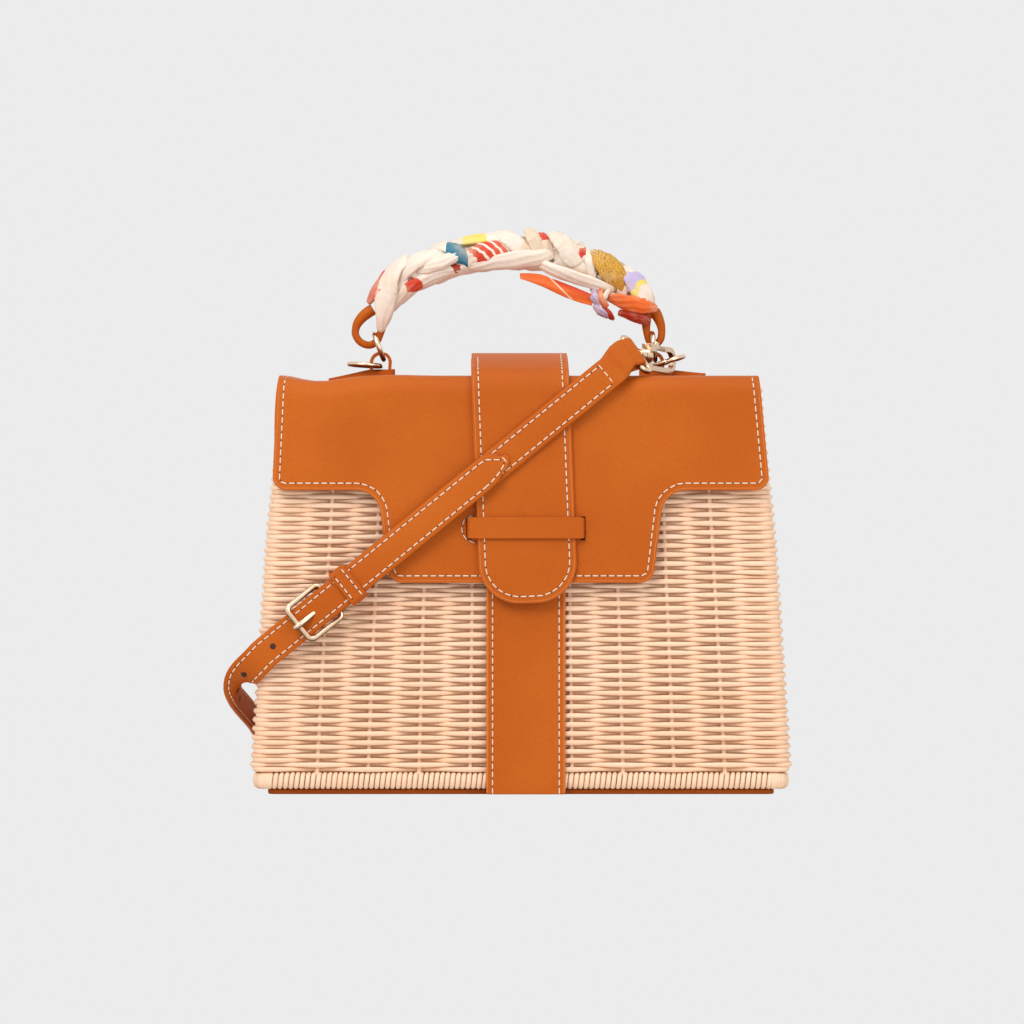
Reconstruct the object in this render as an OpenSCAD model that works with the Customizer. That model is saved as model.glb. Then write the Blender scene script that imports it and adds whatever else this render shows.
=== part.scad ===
// Woven box bag with a leather flap, a scarf wound handle and a shoulder strap.
// The front faces -Y, +Z is up and the origin is the middle of the underside. Sizes are in millimetres.

/* [Basket] */
// width of the weave at the ground
body_w = 253; // [200:1:320]
// width of the weave at the rim
rim_w = 229; // [180:1:300]
// depth of the weave at the ground
body_d = 116; // [90:1:160]
// depth of the weave at the rim
rim_d = 90; // [70:1:140]
// height of the rim
body_h = 194; // [150:1:240]
// thickness of the woven wall
wall_t = 5.6; // [4:0.1:8]
// radius of the upright corners
corner_r = 7; // [5:0.5:14]
// rows of weaving
weave_rows = 84; // [40:2:100]
// stakes of the front between its corners
front_stakes = 9; // [5:1:13]
// stakes of a side between its corners
side_stakes = 4; // [2:1:8]
// how far an under crossing lies behind an over crossing
weave_depth = 1.9; // [0.8:0.1:3]
// height of the wrapped foot border
foot_h = 8.4; // [5:0.2:14]
// width of the wrapped foot border
foot_t = 8.5; // [6:0.5:14]
// spacing of the wraps on the foot border
wrap_pitch = 2.6; // [2:0.1:5]
// diameter of the cane ends at the corners
cane_d = 9; // [6:0.5:12]
// height of the rim border
rim_h = 3; // [2:0.2:6]
// thickness of the basket floor
floor_t = 5; // [3:0.5:8]

/* [Leather] */
// thickness of the body leather
leather_t = 2.2; // [1.6:0.1:3]
// width of the base panel
base_w = 238; // [180:1:300]
// depth of the base panel
base_d = 104; // [80:1:150]
// thickness of the base panel
base_t = 2.4; // [1.6:0.1:4]
// width of the front strip
strip_w = 36.5; // [25:0.5:60]
// sideways place of the front strip
strip_x = 2.3; // [-6:0.1:6]
// thickness of the front strip
strip_t = 1.8; // [1.2:0.1:3]

/* [Flap] */
// height of the flap's top
flap_top = 197.8; // [150:0.2:250]
// width of the flap at its top
flap_top_w = 224; // [170:1:290]
// width of the flap at its side lobes
flap_low_w = 232; // [170:1:300]
// height of the side lobes' lower edge
lobe_z = 143; // [110:1:180]
// width of the middle drop
drop_w = 126; // [90:1:160]
// height of the middle drop's lower edge
drop_z = 99.6; // [80:0.2:130]
// gap between the flap's front and the weave
flap_stand = 3.9; // [3:0.1:6]

/* [Closure] */
// width of the closure strap
closure_w = 45.5; // [30:0.5:60]
// height of the closure strap's arch
closure_top = 209; // [200:0.5:230]
// height of the tongue's tip
tongue_z = 90; // [70:0.5:120]
// radius of the tongue's corners
tongue_r = 19; // [8:0.5:22]
// lean of the hanging tongue, degrees
tongue_lean = 2.2; // [0:0.1:5]
// length of the closure keeper
keeper_l = 55; // [50:0.5:70]
// height of the closure keeper's band
keeper_h = 10; // [6:0.5:16]
// thickness of the closure keeper
keeper_t = 1.6; // [1.2:0.1:2.4]
// height of the closure keeper's middle
keeper_z = 124.4; // [110:0.2:140]

/* [Rings and tabs] */
// distance between the two ring tabs
tab_span = 131.5; // [100:0.5:170]
// sideways place of the pair of tabs
tab_x = -1.75; // [-5:0.25:5]
// radius of a tab's hole
tab_hole_r = 3.6; // [3.5:0.1:5]
// width of a tab's loop
tab_loop_w = 5; // [4:0.2:6]
// thickness of a tab's leaf
leaf_t = 3.2; // [2:0.1:5]
// length of a tab's leaf
leaf_l = 32; // [20:1:45]
// width of a tab's leaf
leaf_w = 6; // [4:0.5:7]
// wire of the rings
wire_d = 2.4; // [1.8:0.1:3]
// middle radius of a handle ring
handle_ring_r = 6.6; // [6:0.1:8]
// middle radius of a strap ring
strap_ring_r = 7.5; // [7:0.1:9]
// lean of the left handle ring, degrees
lean_left = 20; // [0:1:22]
// lean of the right handle ring, degrees
lean_right = 6; // [0:1:22]
// lift of the left strap ring, degrees
lift_left = 4; // [0:1:10]
// lift of the right strap ring, degrees
lift_right = 18; // [10:1:22]
// how far the strap pulls its right ring forward in the tab
ring_pull = 0.6; // [0.3:0.1:0.9]

/* [Handle] */
// diameter of the handle core
core_d = 9; // [6:0.5:12]
// height of the handle core's middle line
handle_top = 257; // [240:0.5:290]
// radius of the handle's middle
bow_r = 110; // [80:1:140]
// radius of the handle's shoulders
shoulder_r = 34; // [26:0.5:45]
// half angle of the handle's middle
bow_a = 25; // [18:0.5:32]
// angle at which the shoulders end
shoulder_a = 66; // [55:1:75]
// hole radius of the end loops
loop_hole_r = 2.9; // [2.6:0.1:3.6]
// wall of the end loops
loop_wall = 2; // [1.4:0.1:3]
// width of the end loops
loop_w = 5.2; // [4:0.2:6]
// middle radius of the wound scarf
scarf_r = 7.4; // [6.4:0.1:9]
// height of the scarf's folds
scarf_fold = 1; // [0.4:0.1:1.6]
// length of one turn of the winding
scarf_turn = 52; // [35:1:80]

/* [Shoulder strap] */
// width of the strap
strap_w = 15; // [12:0.5:18]
// thickness of the strap
strap_t = 2; // [1.6:0.1:2.4]
// slope of the strap on the front, degrees
strap_slope = 39.2; // [36:0.2:42]
// place of the buckle bar along the strap
buckle_s = 182.9; // [175:0.1:190]
// place of the strap's tip along the strap
tip_s = 75.9; // [60:0.5:100]
// length of the buckle frame between its bars
buckle_l = 19.4; // [17:0.1:24]
// wire of the buckle frame and of the hook eyes
frame_d = 2.6; // [2:0.1:3]
// diameter of the prong
prong_d = 1.5; // [1.2:0.1:2]
// diameter of the strap holes
hole_d = 3; // [2.6:0.1:4]
// length of the strap keeper
loop_l = 8.5; // [6:0.5:14]

/* [Snap hooks] */
// distance from a hook's eye bar to its load point
hook_l = 40.5; // [38:0.5:46]
// half height of a hook
hook_h = 6.3; // [5.6:0.1:7]
// wall of a hook
hook_wall = 2.4; // [2:0.1:3]
// thickness of a hook
hook_t = 2.6; // [2.4:0.1:3]
// diameter of the swivel pin
pin_d = 3.2; // [2.6:0.1:4]

/* [Fits] */
// running clearance of a pin in its hole, on the radius
run_gap = 0.07; // [0.03:0.01:0.1]
// gap between pieces that lie on each other
rest_gap = 0.25; // [0.1:0.05:0.4]

/* [Hidden] */
$fn = 48;

reed = [0.93, 0.79, 0.6];
tan_leather = [0.76, 0.39, 0.15];
gold = [0.86, 0.7, 0.42];
silk = [0.95, 0.89, 0.83];

// the four walls lean in by the same slope all the way up
lean_d = (body_d - rim_d) / 2 / body_h;
lean_w = (body_w - rim_w) / 2 / body_h;
lean = atan(lean_d);
wall_low = base_t + foot_h;
wall_high = body_h - rim_h;
row_pitch = (wall_high - wall_low) / weave_rows;

function half_w(z) = body_w / 2 - lean_w * z;
function half_d(z) = body_d / 2 - lean_d * z;
function unit(v) = v / norm(v);
function across(v, a) = unit(v - (v * a) * a);
function lerp(a, b, t) = a + (b - a) * t;
function arc(x, y, r, a0, a1, n = 8) =
  [for (i = [0:n]) let (a = lerp(a0, a1, i / n)) [x + r * cos(a), y + r * sin(a)]];
function mirrored(p) = [for (i = [len(p) - 1:-1:0]) [-p[i].x, p[i].y]];

// stack of layers on the front, measured outwards from the weave
strip_out = rest_gap + strip_t;
flap_out = flap_stand + leather_t;
closure_in = flap_out + rest_gap;
closure_out = closure_in + leather_t;
strap_lift = closure_out + 0.5 + strap_t / 2;
layer = strap_t + 0.15;

// flap and rings
flap_r = 6.8;
flap_bow = 800;
leaf_top = flap_top + rest_gap + leaf_t;
tab_left_x = tab_x - tab_span / 2;
tab_right_x = tab_x + tab_span / 2;
hole_z = leaf_top + tab_hole_r - 0.3;
strap_wire_z = leaf_top + 0.3 + wire_d / 2;
axis_z = strap_wire_z + wire_d + 0.4 + handle_ring_r;
ring_left_x = tab_left_x - 0.8;
ring_right_x = tab_right_x;
loop_left_x = ring_left_x - handle_ring_r * sin(lean_left);
loop_right_x = ring_right_x - handle_ring_r * sin(lean_right);
loop_z = axis_z + handle_ring_r - loop_hole_r + wire_d / 2 + 0.3;
handle_x = (loop_left_x + loop_right_x) / 2;
loop_half = (loop_right_x - loop_left_x) / 2;

// strap line on the front: s runs down the strap, lift is the distance from the weave
strap_start = [52.5, 0, 207];
hook_bar = [52.5, -43.2, 207];
function strap_z(s) = strap_start.z - s * sin(strap_slope);
function strap_at(s, lift) =
  [strap_start.x - s * cos(strap_slope), -half_d(strap_z(s)) - lift, strap_z(s)];
strap_dir = unit(strap_at(1, 0) - strap_at(0, 0));
front_out = [0, -cos(lean), sin(lean)];
strap_across = cross(front_out, strap_dir);
side_up = [0, 0, 1];

// the right hook runs from the strap end to the front of the right strap ring
ring_right_mid = [tab_right_x + strap_ring_r * cos(lift_right), 0,
  strap_wire_z + strap_ring_r * sin(lift_right)];
hook_axis = unit(ring_right_mid + [0, -strap_ring_r, 0] - hook_bar);
eye_across = across(strap_across, hook_axis);
fold_dir = across(-strap_dir + [0, 0.95, 0], eye_across);
fold_out = cross(fold_dir, eye_across);
fold_r = frame_d / 2 + 0.25 + strap_t / 2;
buckle_lift = 5.2;
bar_lift = 9.4;
bar_s = buckle_s + buckle_l;
far_bar = [22, 88.95, 10.6];

function bend(mid, a, b, from, to, n) =
  [for (i = [0:n]) let (q = lerp(from, to, i / n)) mid + fold_r * (cos(q) * a + sin(q) * b)];

// route of the short strap: tail, round the hook's eye, down the front, round the buckle bar, tail
short_low = strap_lift - layer;
short_route = concat(
  [for (s = [26, 18, 13]) strap_at(s, short_low)],
  [hook_bar - fold_r * fold_out - 6 * fold_dir, hook_bar - fold_r * fold_out - 3 * fold_dir],
  bend(hook_bar, fold_dir, fold_out, -90, 90, 6),
  [hook_bar + fold_r * fold_out - 3 * fold_dir, hook_bar + fold_r * fold_out - 6 * fold_dir],
  [for (p = [[12, 0], [18, 0], [40, 0], [70, 0], [105, 0], [130, -0.8], [150, -1.6], [165, -2.1]])
    strap_at(p[0], strap_lift + p[1])],
  bend(strap_at(buckle_s, buckle_lift), strap_dir, front_out, 90, -90, 6),
  [strap_at(177, 3.4), strap_at(170, 5.2), strap_at(163, 5.8)]);
short_turn = concat([0, 0, 0.2, 1, 1], [for (i = [0:6]) 1], [1, 1, 0.4, 0.1],
  [for (i = [0:5]) 0], [for (i = [0:6]) 0], [0, 0, 0]);
short_across = [for (k = short_turn) lerp(strap_across, eye_across, k)];

// route of the long strap: tip, through the buckle, round the left side, folded up behind the bag
hank_right = 80;
hank_left = -52;
hank_near = 68.5;
hank_far = 104.5;
hank_mid = 86.5;
hank_z = strap_w / 2 + 0.3;
tip_steps = [0.1, 0.5, 1.4, 3, 5.2, strap_w / 2];
long_route = concat(
  [for (d = tip_steps) strap_at(tip_s + d, strap_lift + layer)],
  [for (p = [[105, 0], [130, -0.8], [150, -1.6], [165, -2.1], [buckle_s, -2.35]])
    strap_at(p[0], strap_lift + layer + p[1])],
  [for (p = [[188, 9], [195, 7.8], [bar_s, 6.9], [209, 5.9], [216, 5], [223, 4.3]]) strap_at(p[0], p[1])],
  [[-124.6, -57, 61.6], [-129.4, -53.4, 57], [-133, -46.6, 52.6], [-134.8, -36.6, 48.6],
   [-135.2, -24, 45], [-134.8, -8, 41.5], [-133.6, 10, 38], [-132, 28, 34], [-130, 44, 29],
   [-126.8, 55.5, 24], [-118, 63.6, 18], [-105, 67.4, 13.5], [-90, hank_near, 10],
   [-70, hank_near, hank_z], [0, hank_near, hank_z]],
  [for (p = arc(hank_right, (hank_near + hank_far) / 2, (hank_far - hank_near) / 2, -90, 90, 12))
    [p.x, p.y, hank_z]],
  [for (p = arc(hank_left, (hank_mid + hank_far) / 2, (hank_far - hank_mid) / 2, 90, 270, 10))
    [p.x, p.y, hank_z]],
  [[-20, hank_mid, hank_z + 0.6], [2, hank_mid, far_bar.z - 1], [12, hank_mid, far_bar.z]],
  bend(far_bar, [1, 0, 0], [0, 1, 0], -90, 90, 6),
  [far_bar + [-4, 1.6, 0], far_bar + [-9, -0.1, 0], far_bar + [-18, -0.1, 0]]);
front_count = len(tip_steps) + 11;
long_turn = [for (i = [0:len(long_route) - 1]) max(0, min(1, (i - front_count + 1) / 9))];
long_across = [for (k = long_turn) lerp(strap_across, side_up, k)];
long_half = [for (i = [0:len(long_route) - 1])
  i < len(tip_steps) ? sqrt(max(0, pow(strap_w / 2, 2) - pow(strap_w / 2 - tip_steps[i], 2))) : strap_w / 2];
hole_steps = [front_count - 2, front_count + 1, front_count + 3, front_count + 4];

// ring by ring sweep of a flat strip along a route
function step(p, i) = unit(p[min(i + 1, len(p) - 1)] - p[max(i - 1, 0)]);
function strip_ring(p, w, h, i) = let (t = step(p, i), a = across(w[i], t), n = cross(t, a))
  [for (c = [[-1, -1], [1, -1], [1, 1], [-1, 1]]) p[i] + c[0] * h[i] * a + c[1] * strap_t / 2 * n];
function grid_quads(rings, m, closed) =
  [for (i = [0:rings - (closed ? 1 : 2)], j = [0:m - 1])
    let (a = i * m, b = (i + 1) % rings * m, k = (j + 1) % m) each
    [[a + j, a + k, b + k], [a + j, b + k, b + j]]];

module strip_sweep(p, w, h) {
  polyhedron(points = [for (i = [0:len(p) - 1]) each strip_ring(p, w, h, i)],
    faces = concat(grid_quads(len(p), 4, false), [[3, 2, 1, 0]],
      [[for (j = [0:3]) (len(p) - 1) * 4 + j]]));
}

// frame with X along a, Z near up
module placed(p, a, up) {
  z = across(up, a);
  y = cross(z, a);
  multmatrix([[a.x, y.x, z.x, p.x], [a.y, y.y, z.y, p.y], [a.z, y.z, z.z, p.z], [0, 0, 0, 1]]) children();
}

module on_strap(s, lift) placed(strap_at(s, lift), strap_dir, front_out) children();
module on_front(x, z) translate([x, -half_d(z), z]) rotate([-lean, 0, 0]) children();
module along_x(w) rotate([90, 0, 90]) translate([0, 0, -w / 2]) linear_extrude(w) children();
module along_y(from, to) translate([0, to, 0]) rotate([90, 0, 0]) linear_extrude(to - from) children();

module rounded(w, h, r) {
  square([w - 2 * r, h], center = true);
  square([w, h - 2 * r], center = true);
  for (x = [-1, 1], y = [-1, 1]) translate([x * (w / 2 - r), y * (h / 2 - r)]) circle(r);
}

module rod(d, from, to) translate([from, 0, 0]) rotate([0, 90, 0]) cylinder(d = d, h = to - from);

// closed loop of round wire in the XY plane, w along Y
module wire_loop(l, w, r, d) {
  for (y = [-1, 1]) translate([0, y * w / 2, 0]) rod(d, r, l - r);
  for (x = [0, l]) translate([x, w / 2 - r, 0]) rotate([90, 0, 0]) cylinder(d = d, h = w - 2 * r);
  for (q = [[r, w / 2 - r, 90], [r, r - w / 2, 180], [l - r, r - w / 2, 270], [l - r, w / 2 - r, 0]])
    translate([q[0], q[1], 0]) rotate([0, 0, q[2]]) rotate_extrude(angle = 90) translate([r, 0]) circle(d = d);
}

// columns of the weave in order round the basket: side, corner flag, place, stake number
stakes_before = [0, front_stakes + 1, front_stakes + side_stakes + 2, 2 * front_stakes + side_stakes + 3];
columns = [for (q = [0:3]) let (n = q % 2 == 0 ? front_stakes : side_stakes) each concat(
  [for (i = [1:n]) [q, false, i / (n + 1), stakes_before[q] + i]],
  [for (k = [0:2]) [q, true, k / 2, k == 1 ? stakes_before[q] + n + 1 : -1]])];

function turned(q, x, y) = q == 0 ? [x, y] : q == 1 ? [-y, x] : q == 2 ? [-x, -y] : [y, -x];
function wall_point(c, z, out) = let (
  w = (c[0] % 2 == 0 ? half_w(z) : half_d(z)) - corner_r,
  d = (c[0] % 2 == 0 ? half_d(z) : half_w(z)) - corner_r,
  a = 90 * c[2] - 90,
  r = corner_r + out,
  p = c[1] ? [w + r * cos(a), -d + r * sin(a)] : [lerp(-w, w, c[2]), -d - r])
  concat(turned(c[0], p.x, p.y), z);
function crossing(c, row) = c[3] < 0 ? -weave_depth / 2 : (c[3] + row) % 2 == 0 ? 0 : -weave_depth;
// each over crossing is a lens between the four under crossings next to it
function weave_faces(rings, m) = [for (i = [0:rings - 1], j = [0:m - 1])
  let (k = (j + 1) % m, a = i * m, b = (i + 1) % rings * m,
    over = crossing(columns[j], i - 1) == 0 || crossing(columns[k], i) == 0) each
  over ? [[b + j, a + k, a + j], [b + j, b + k, a + k]] : [[b + k, a + k, a + j], [b + j, b + k, a + j]]];

// woven wall, one loop of points to a row, then the plain inside
module basket_body() {
  outer = concat(
    [for (c = columns) wall_point(c, wall_low, -weave_depth / 2)],
    [for (row = [0:weave_rows - 1], c = columns)
      wall_point(c, wall_low + (row + 0.5) * row_pitch, crossing(c, row))],
    [for (c = columns) wall_point(c, wall_high, -weave_depth / 2)]);
  inner = [for (z = [wall_high, wall_low], c = columns) wall_point(c, z, -wall_t)];
  color(reed) polyhedron(points = concat(outer, inner),
    faces = weave_faces(weave_rows + 4, len(columns)));
}

module basket_floor() {
  color(reed) translate([0, 0, base_t])
    linear_extrude(floor_t) rounded(body_w - 2 * foot_t - 0.4, body_d - 2 * foot_t - 0.4, 2);
}

// edge of the border seen from above, a rounded wrap to each step
function wraps(l, y) = let (n = floor(l / wrap_pitch), p = l / n)
  [for (i = [0:n - 1]) each [[(i - n / 2) * p, y + 0.7], [(i + 0.25 - n / 2) * p, y + 0.1],
    [(i + 0.75 - n / 2) * p, y + 0.1]]];
function border_edge(w, d) = concat(
  [for (p = wraps(w - cane_d, -d / 2)) p], [for (p = wraps(d - cane_d, -w / 2)) turned(1, p.x, p.y)],
  [for (p = wraps(w - cane_d, -d / 2)) turned(2, p.x, p.y)],
  [for (p = wraps(d - cane_d, -w / 2)) turned(3, p.x, p.y)]);

module foot_border() {
  w = 2 * half_w(base_t + foot_h / 2);
  d = 2 * half_d(base_t + foot_h / 2);
  color(reed) translate([0, 0, base_t]) difference() {
    union() {
      linear_extrude(foot_h) polygon(border_edge(w, d));
      for (x = [-1, 1], y = [-1, 1])
        translate([x * (w - cane_d) / 2, y * (d - cane_d) / 2, 0]) cylinder(d = cane_d, h = foot_h);
    }
    translate([0, 0, -1]) linear_extrude(foot_h + 2) rounded(body_w - 2 * foot_t, body_d - 2 * foot_t, 2);
  }
}

module rim_border() {
  w = 2 * half_w(body_h) - 2;
  d = 2 * half_d(body_h) - 7.4;
  color(reed) translate([0, 0, wall_high]) linear_extrude(rim_h) difference() {
    rounded(w, d, corner_r - 1);
    rounded(w - 2 * wall_t, d - 2 * wall_t, 2);
  }
}

module base_panel() color(tan_leather) linear_extrude(base_t) rounded(base_w, base_d, 4);

// upright section of a sheet that lies over the bag: straight legs, round corners, bowed top
function bow_z(out, r, bow, top) = let (a = body_d / 2 + out - r / cos(lean), c = top - bow,
  m = 1 + lean_d * lean_d, h = a * lean_d + c)
  (h + sqrt(h * h - m * (a * a + c * c - pow(bow - r, 2)))) / m;
function bow_y(out, r, z) = body_d / 2 + out - r / cos(lean) - lean_d * z;

function over_line(out_f, out_b, r, bow, top, low) = let (
  zf = bow_z(out_f, r, bow, top), zb = bow_z(out_b, r, bow, top),
  front = [-bow_y(out_f, r, zf), zf], back = [bow_y(out_b, r, zb), zb], mid = top - bow,
  af = atan2(zf - mid, front.x), ab = atan2(zb - mid, back.x))
  concat([[-half_d(low) - out_f, low]], arc(front.x, zf, r, 180 - lean, af),
    [for (i = [1:11]) let (a = lerp(af, ab, i / 12)) [bow * cos(a), mid + bow * sin(a)]],
    arc(back.x, zb, r, ab, lean), [[half_d(low) + out_b, low]]);

module over_sheet(out_f, out_b, r, bow, top, low, w) {
  inner = over_line(out_f - leather_t, out_b - leather_t, r - leather_t, bow - leather_t, top - leather_t, low);
  along_x(w) polygon(concat(over_line(out_f, out_b, r, bow, top, low),
    [for (i = [len(inner) - 1:-1:0]) inner[i]]));
}

flap_side = let (w = flap_low_w / 2, d = drop_w / 2) concat(
  [[flap_top_w / 2, flap_top + 5], [flap_top_w / 2, flap_top - 1]], arc(w - 6, lobe_z + 6, 6, 0, -90),
  arc(d + 14.5, lobe_z - 12, 12, 90, 180), arc(d - 7.5, drop_z + 7, 7, 0, -90));
flap_back = concat([[flap_top_w / 2, flap_top + 5], [flap_top_w / 2, flap_top - 1]],
  arc(flap_low_w / 2 - 6, lobe_z + 6, 6, 0, -90));

module flap() {
  slot_x = keeper_l / 2 - keeper_t / 2;
  color(tan_leather) difference() {
    intersection() {
      over_sheet(flap_out, rest_gap + leather_t, flap_r + leather_t, flap_bow, flap_top, 60, 300);
      union() {
        along_y(-body_d, 0.01) polygon(concat(flap_side, mirrored(flap_side)));
        along_y(0, body_d) polygon(concat(flap_back, mirrored(flap_back)));
      }
    }
    for (x = [-1, 1]) on_front(strip_x + x * slot_x, keeper_z) translate([0, -flap_stand - leather_t / 2, 0])
      cube([keeper_t + 0.8, 2 * leather_t, keeper_h + 1.2], center = true);
  }
}

tongue = concat([[closure_w / 2, closure_top + 8]], arc(closure_w / 2 - tongue_r, tongue_z + tongue_r,
  tongue_r, 0, -90, 12));
closure_back = concat([[closure_w / 2, closure_top + 8]],
  arc(closure_w / 2 - 6, lobe_z + 14, 6, 0, -90));

module closure_strap() {
  color(tan_leather) intersection() {
    over_sheet(closure_out, 2 * rest_gap + 2 * leather_t, 13, 125, closure_top, 60, 90);
    union() {
      along_y(-body_d, 0.01) translate([-0.8, closure_top]) rotate(tongue_lean) translate([0, -closure_top])
        polygon(concat(tongue, mirrored(tongue)));
      along_y(0, body_d) translate([-0.8, 0]) polygon(concat(closure_back, mirrored(closure_back)));
    }
  }
}

module front_strip() {
  color(tan_leather) translate([strip_x, 0, 0]) along_x(strip_w)
    polygon([[-half_d(0.4) - rest_gap, 0.4], [-half_d(lobe_z + 40) - rest_gap, lobe_z + 40],
      [-half_d(lobe_z + 40) - strip_out, lobe_z + 40], [-half_d(0.4) - strip_out, 0.4]]);
}

// closed band: behind the flap, out through its slots, over the tongue
module closure_keeper() {
  back = strip_out + 0.1;
  front = closure_out + rest_gap + keeper_t;
  color(tan_leather) on_front(strip_x, keeper_z) translate([0, -(back + front) / 2, -keeper_h / 2])
    linear_extrude(keeper_h) difference() {
      rounded(keeper_l, front - back, keeper_t);
      rounded(keeper_l - 2 * keeper_t, front - back - 2 * keeper_t, 0.3);
    }
}

// leaf sewn to the flap with an upright loop at its inner end, side is the outward sign
module ring_tab(x, side) {
  wall = 1.5;
  low = flap_top + rest_gap;
  color(tan_leather) translate([x, 0, 0]) {
    difference() {
      along_y(-tab_loop_w / 2, tab_loop_w / 2) {
        translate([0, hole_z]) circle(tab_hole_r + wall);
        translate([-tab_hole_r - wall, low]) square([2 * (tab_hole_r + wall), hole_z - low]);
      }
      along_y(-leaf_w, leaf_w) {
        translate([0, hole_z]) circle(tab_hole_r);
        translate([-tab_hole_r, leaf_top]) square([2 * tab_hole_r, hole_z - leaf_top]);
      }
    }
    translate([side * (leaf_l / 2 - 7), 0, low]) linear_extrude(leaf_t) rounded(leaf_l, leaf_w, leaf_w / 2 - 0.4);
  }
}

module ring_tab_left() ring_tab(tab_left_x, -1);
module ring_tab_right() ring_tab(tab_right_x, 1);

module wire_ring(r) color(gold) rotate_extrude() translate([r, 0]) circle(d = wire_d);

module handle_ring_left() translate([ring_left_x, 0, axis_z]) rotate([0, 90 - lean_left, 0]) wire_ring(handle_ring_r);
module handle_ring_right() translate([ring_right_x, 0, axis_z]) rotate([0, 90 - lean_right, 0]) wire_ring(handle_ring_r);
module strap_ring_left() {
  translate([tab_left_x - strap_ring_r * cos(lift_left), 0, strap_wire_z + strap_ring_r * sin(lift_left)])
    rotate([0, lift_left, 0]) wire_ring(strap_ring_r);
}
module strap_ring_right() {
  translate(ring_right_mid - [0, ring_pull, 0]) rotate([0, -lift_right, 0]) wire_ring(strap_ring_r);
}

// middle line of the handle in its own plane, s is the length from its top
bow_mid = handle_top - bow_r;
bow_len = bow_r * bow_a * PI / 180;
shoulder_len = shoulder_r * (shoulder_a - bow_a) * PI / 180;
shoulder_mid = [(bow_r - shoulder_r) * sin(bow_a), bow_mid + (bow_r - shoulder_r) * cos(bow_a)];
function handle_turn(s) = abs(s) <= bow_len ? s / bow_r * 180 / PI
  : sign(s) * (bow_a + (abs(s) - bow_len) / shoulder_r * 180 / PI);
function handle_at(s) = let (a = handle_turn(s)) abs(s) <= bow_len
  ? [handle_x + bow_r * sin(a), 0, bow_mid + bow_r * cos(a)]
  : [handle_x + sign(s) * shoulder_mid.x + shoulder_r * sin(a), 0, shoulder_mid.y + shoulder_r * cos(a)];

// the arcs end half a millimetre short of each other, inside the bands that join them
module core_arc(x, z, r, from, to) let (short = atan(0.5 / r)) translate([x, 0, z]) rotate([90, 0, 0])
  rotate([0, 0, 90 - to + short]) rotate_extrude(angle = to - from - 2 * short) translate([r, 0])
  circle(d = core_d);

module handle_core() color(tan_leather) {
  core_arc(handle_x, bow_mid, bow_r, -bow_a, bow_a);
  for (side = [-1, 1]) {
    core_arc(handle_x + side * shoulder_mid.x, shoulder_mid.y, shoulder_r,
      side > 0 ? bow_a : -shoulder_a, side > 0 ? shoulder_a : -bow_a);
    for (s = [bow_len, bow_len + shoulder_len]) let (a = side * handle_turn(s))
      placed(handle_at(side * s), [cos(a), 0, -sin(a)], [0, 1, 0]) rod(core_d + 0.8, -1.5, 1.5);
    end = handle_at(side * (bow_len + shoulder_len));
    stem = [handle_x + side * loop_half, 0, loop_z] - end;
    translate(end) placed([0, 0, 0], unit(stem), [0, 1, 0])
      rod(core_d, 0.5, norm(stem) - loop_hole_r - loop_wall / 3);
    translate([handle_x + side * loop_half, loop_w / 2, loop_z]) rotate([90, 0, 0]) difference() {
      cylinder(r = loop_hole_r + loop_wall, h = loop_w);
      translate([0, 0, -1]) cylinder(r = loop_hole_r, h = loop_w + 2);
    }
  }
}

// scarf: three soft strands wound round the core, with a knot and a flat tail near the right end
scarf_len = bow_len + shoulder_len - 2.5;
scarf_rings = 46;
scarf_sides = 14;
knot_s = 47;
function scarf_point(s, q, r) = let (a = handle_turn(s), p = handle_at(s))
  p + r * (cos(q) * [sin(a), 0, cos(a)] + sin(q) * [0, 1, 0]);
function scarf_radius(s, q) = scarf_r + scarf_fold * cos(3 * q - 360 * s / scarf_turn)
  + 0.9 * exp(-pow((s - knot_s) / 7, 2)) - 1.4 * pow(abs(s) / scarf_len, 6);

module handle_scarf() {
  rings = [for (i = [0:scarf_rings]) lerp(-scarf_len, scarf_len, i / scarf_rings)];
  turns = [for (j = [0:scarf_sides - 1]) 360 * j / scarf_sides];
  wound = concat([for (s = rings, q = turns) scarf_point(s, q, scarf_radius(s, q))],
    [for (i = [scarf_rings:-1:0], q = turns) scarf_point(rings[i], q, core_d / 2 + 0.55)]);
  foot = handle_at(knot_s);
  color(silk) {
    polyhedron(points = wound, faces = grid_quads(2 * (scarf_rings + 1), scarf_sides, true));
    translate(foot + [-2, -5, -7.5]) along_y(-1.5, 1.5)
      polygon([[5, 2], [2, -5], [-4, -6], [-14, -2], [-36, 9], [-37, 12], [-30, 12.5], [-12, 8]]);
  }
}

module strap_short() {
  color(tan_leather) difference() {
    strip_sweep(short_route, short_across, [for (p = short_route) strap_w / 2]);
    on_strap(buckle_s + 2, buckle_lift) cube([9, 4, 6.6], center = true);
  }
}

module strap_long() {
  color(tan_leather) difference() {
    strip_sweep(long_route, long_across, long_half);
    on_strap(buckle_s + 9.5, 8.1) cube([13, prong_d + 0.9, 7], center = true);
    for (i = hole_steps) let (t = step(long_route, i), a = across(long_across[i], t))
      placed(long_route[i], cross(t, a), a) rod(hole_d, -2 * strap_t, 2 * strap_t);
  }
}

// band round the three layers of strap beside the buckle
module strap_keeper() {
  s = 172;
  low = 2.2;
  high = strap_lift + layer - 2 + strap_t / 2 + rest_gap;
  inner = strap_w + 0.6;
  color(tan_leather) on_strap(s, (low + high) / 2) rotate([0, 2, 0]) along_x(loop_l) difference() {
    rounded(inner + 3, high - low + 3, 2);
    rounded(inner, high - low, 0.6);
  }
}

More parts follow.
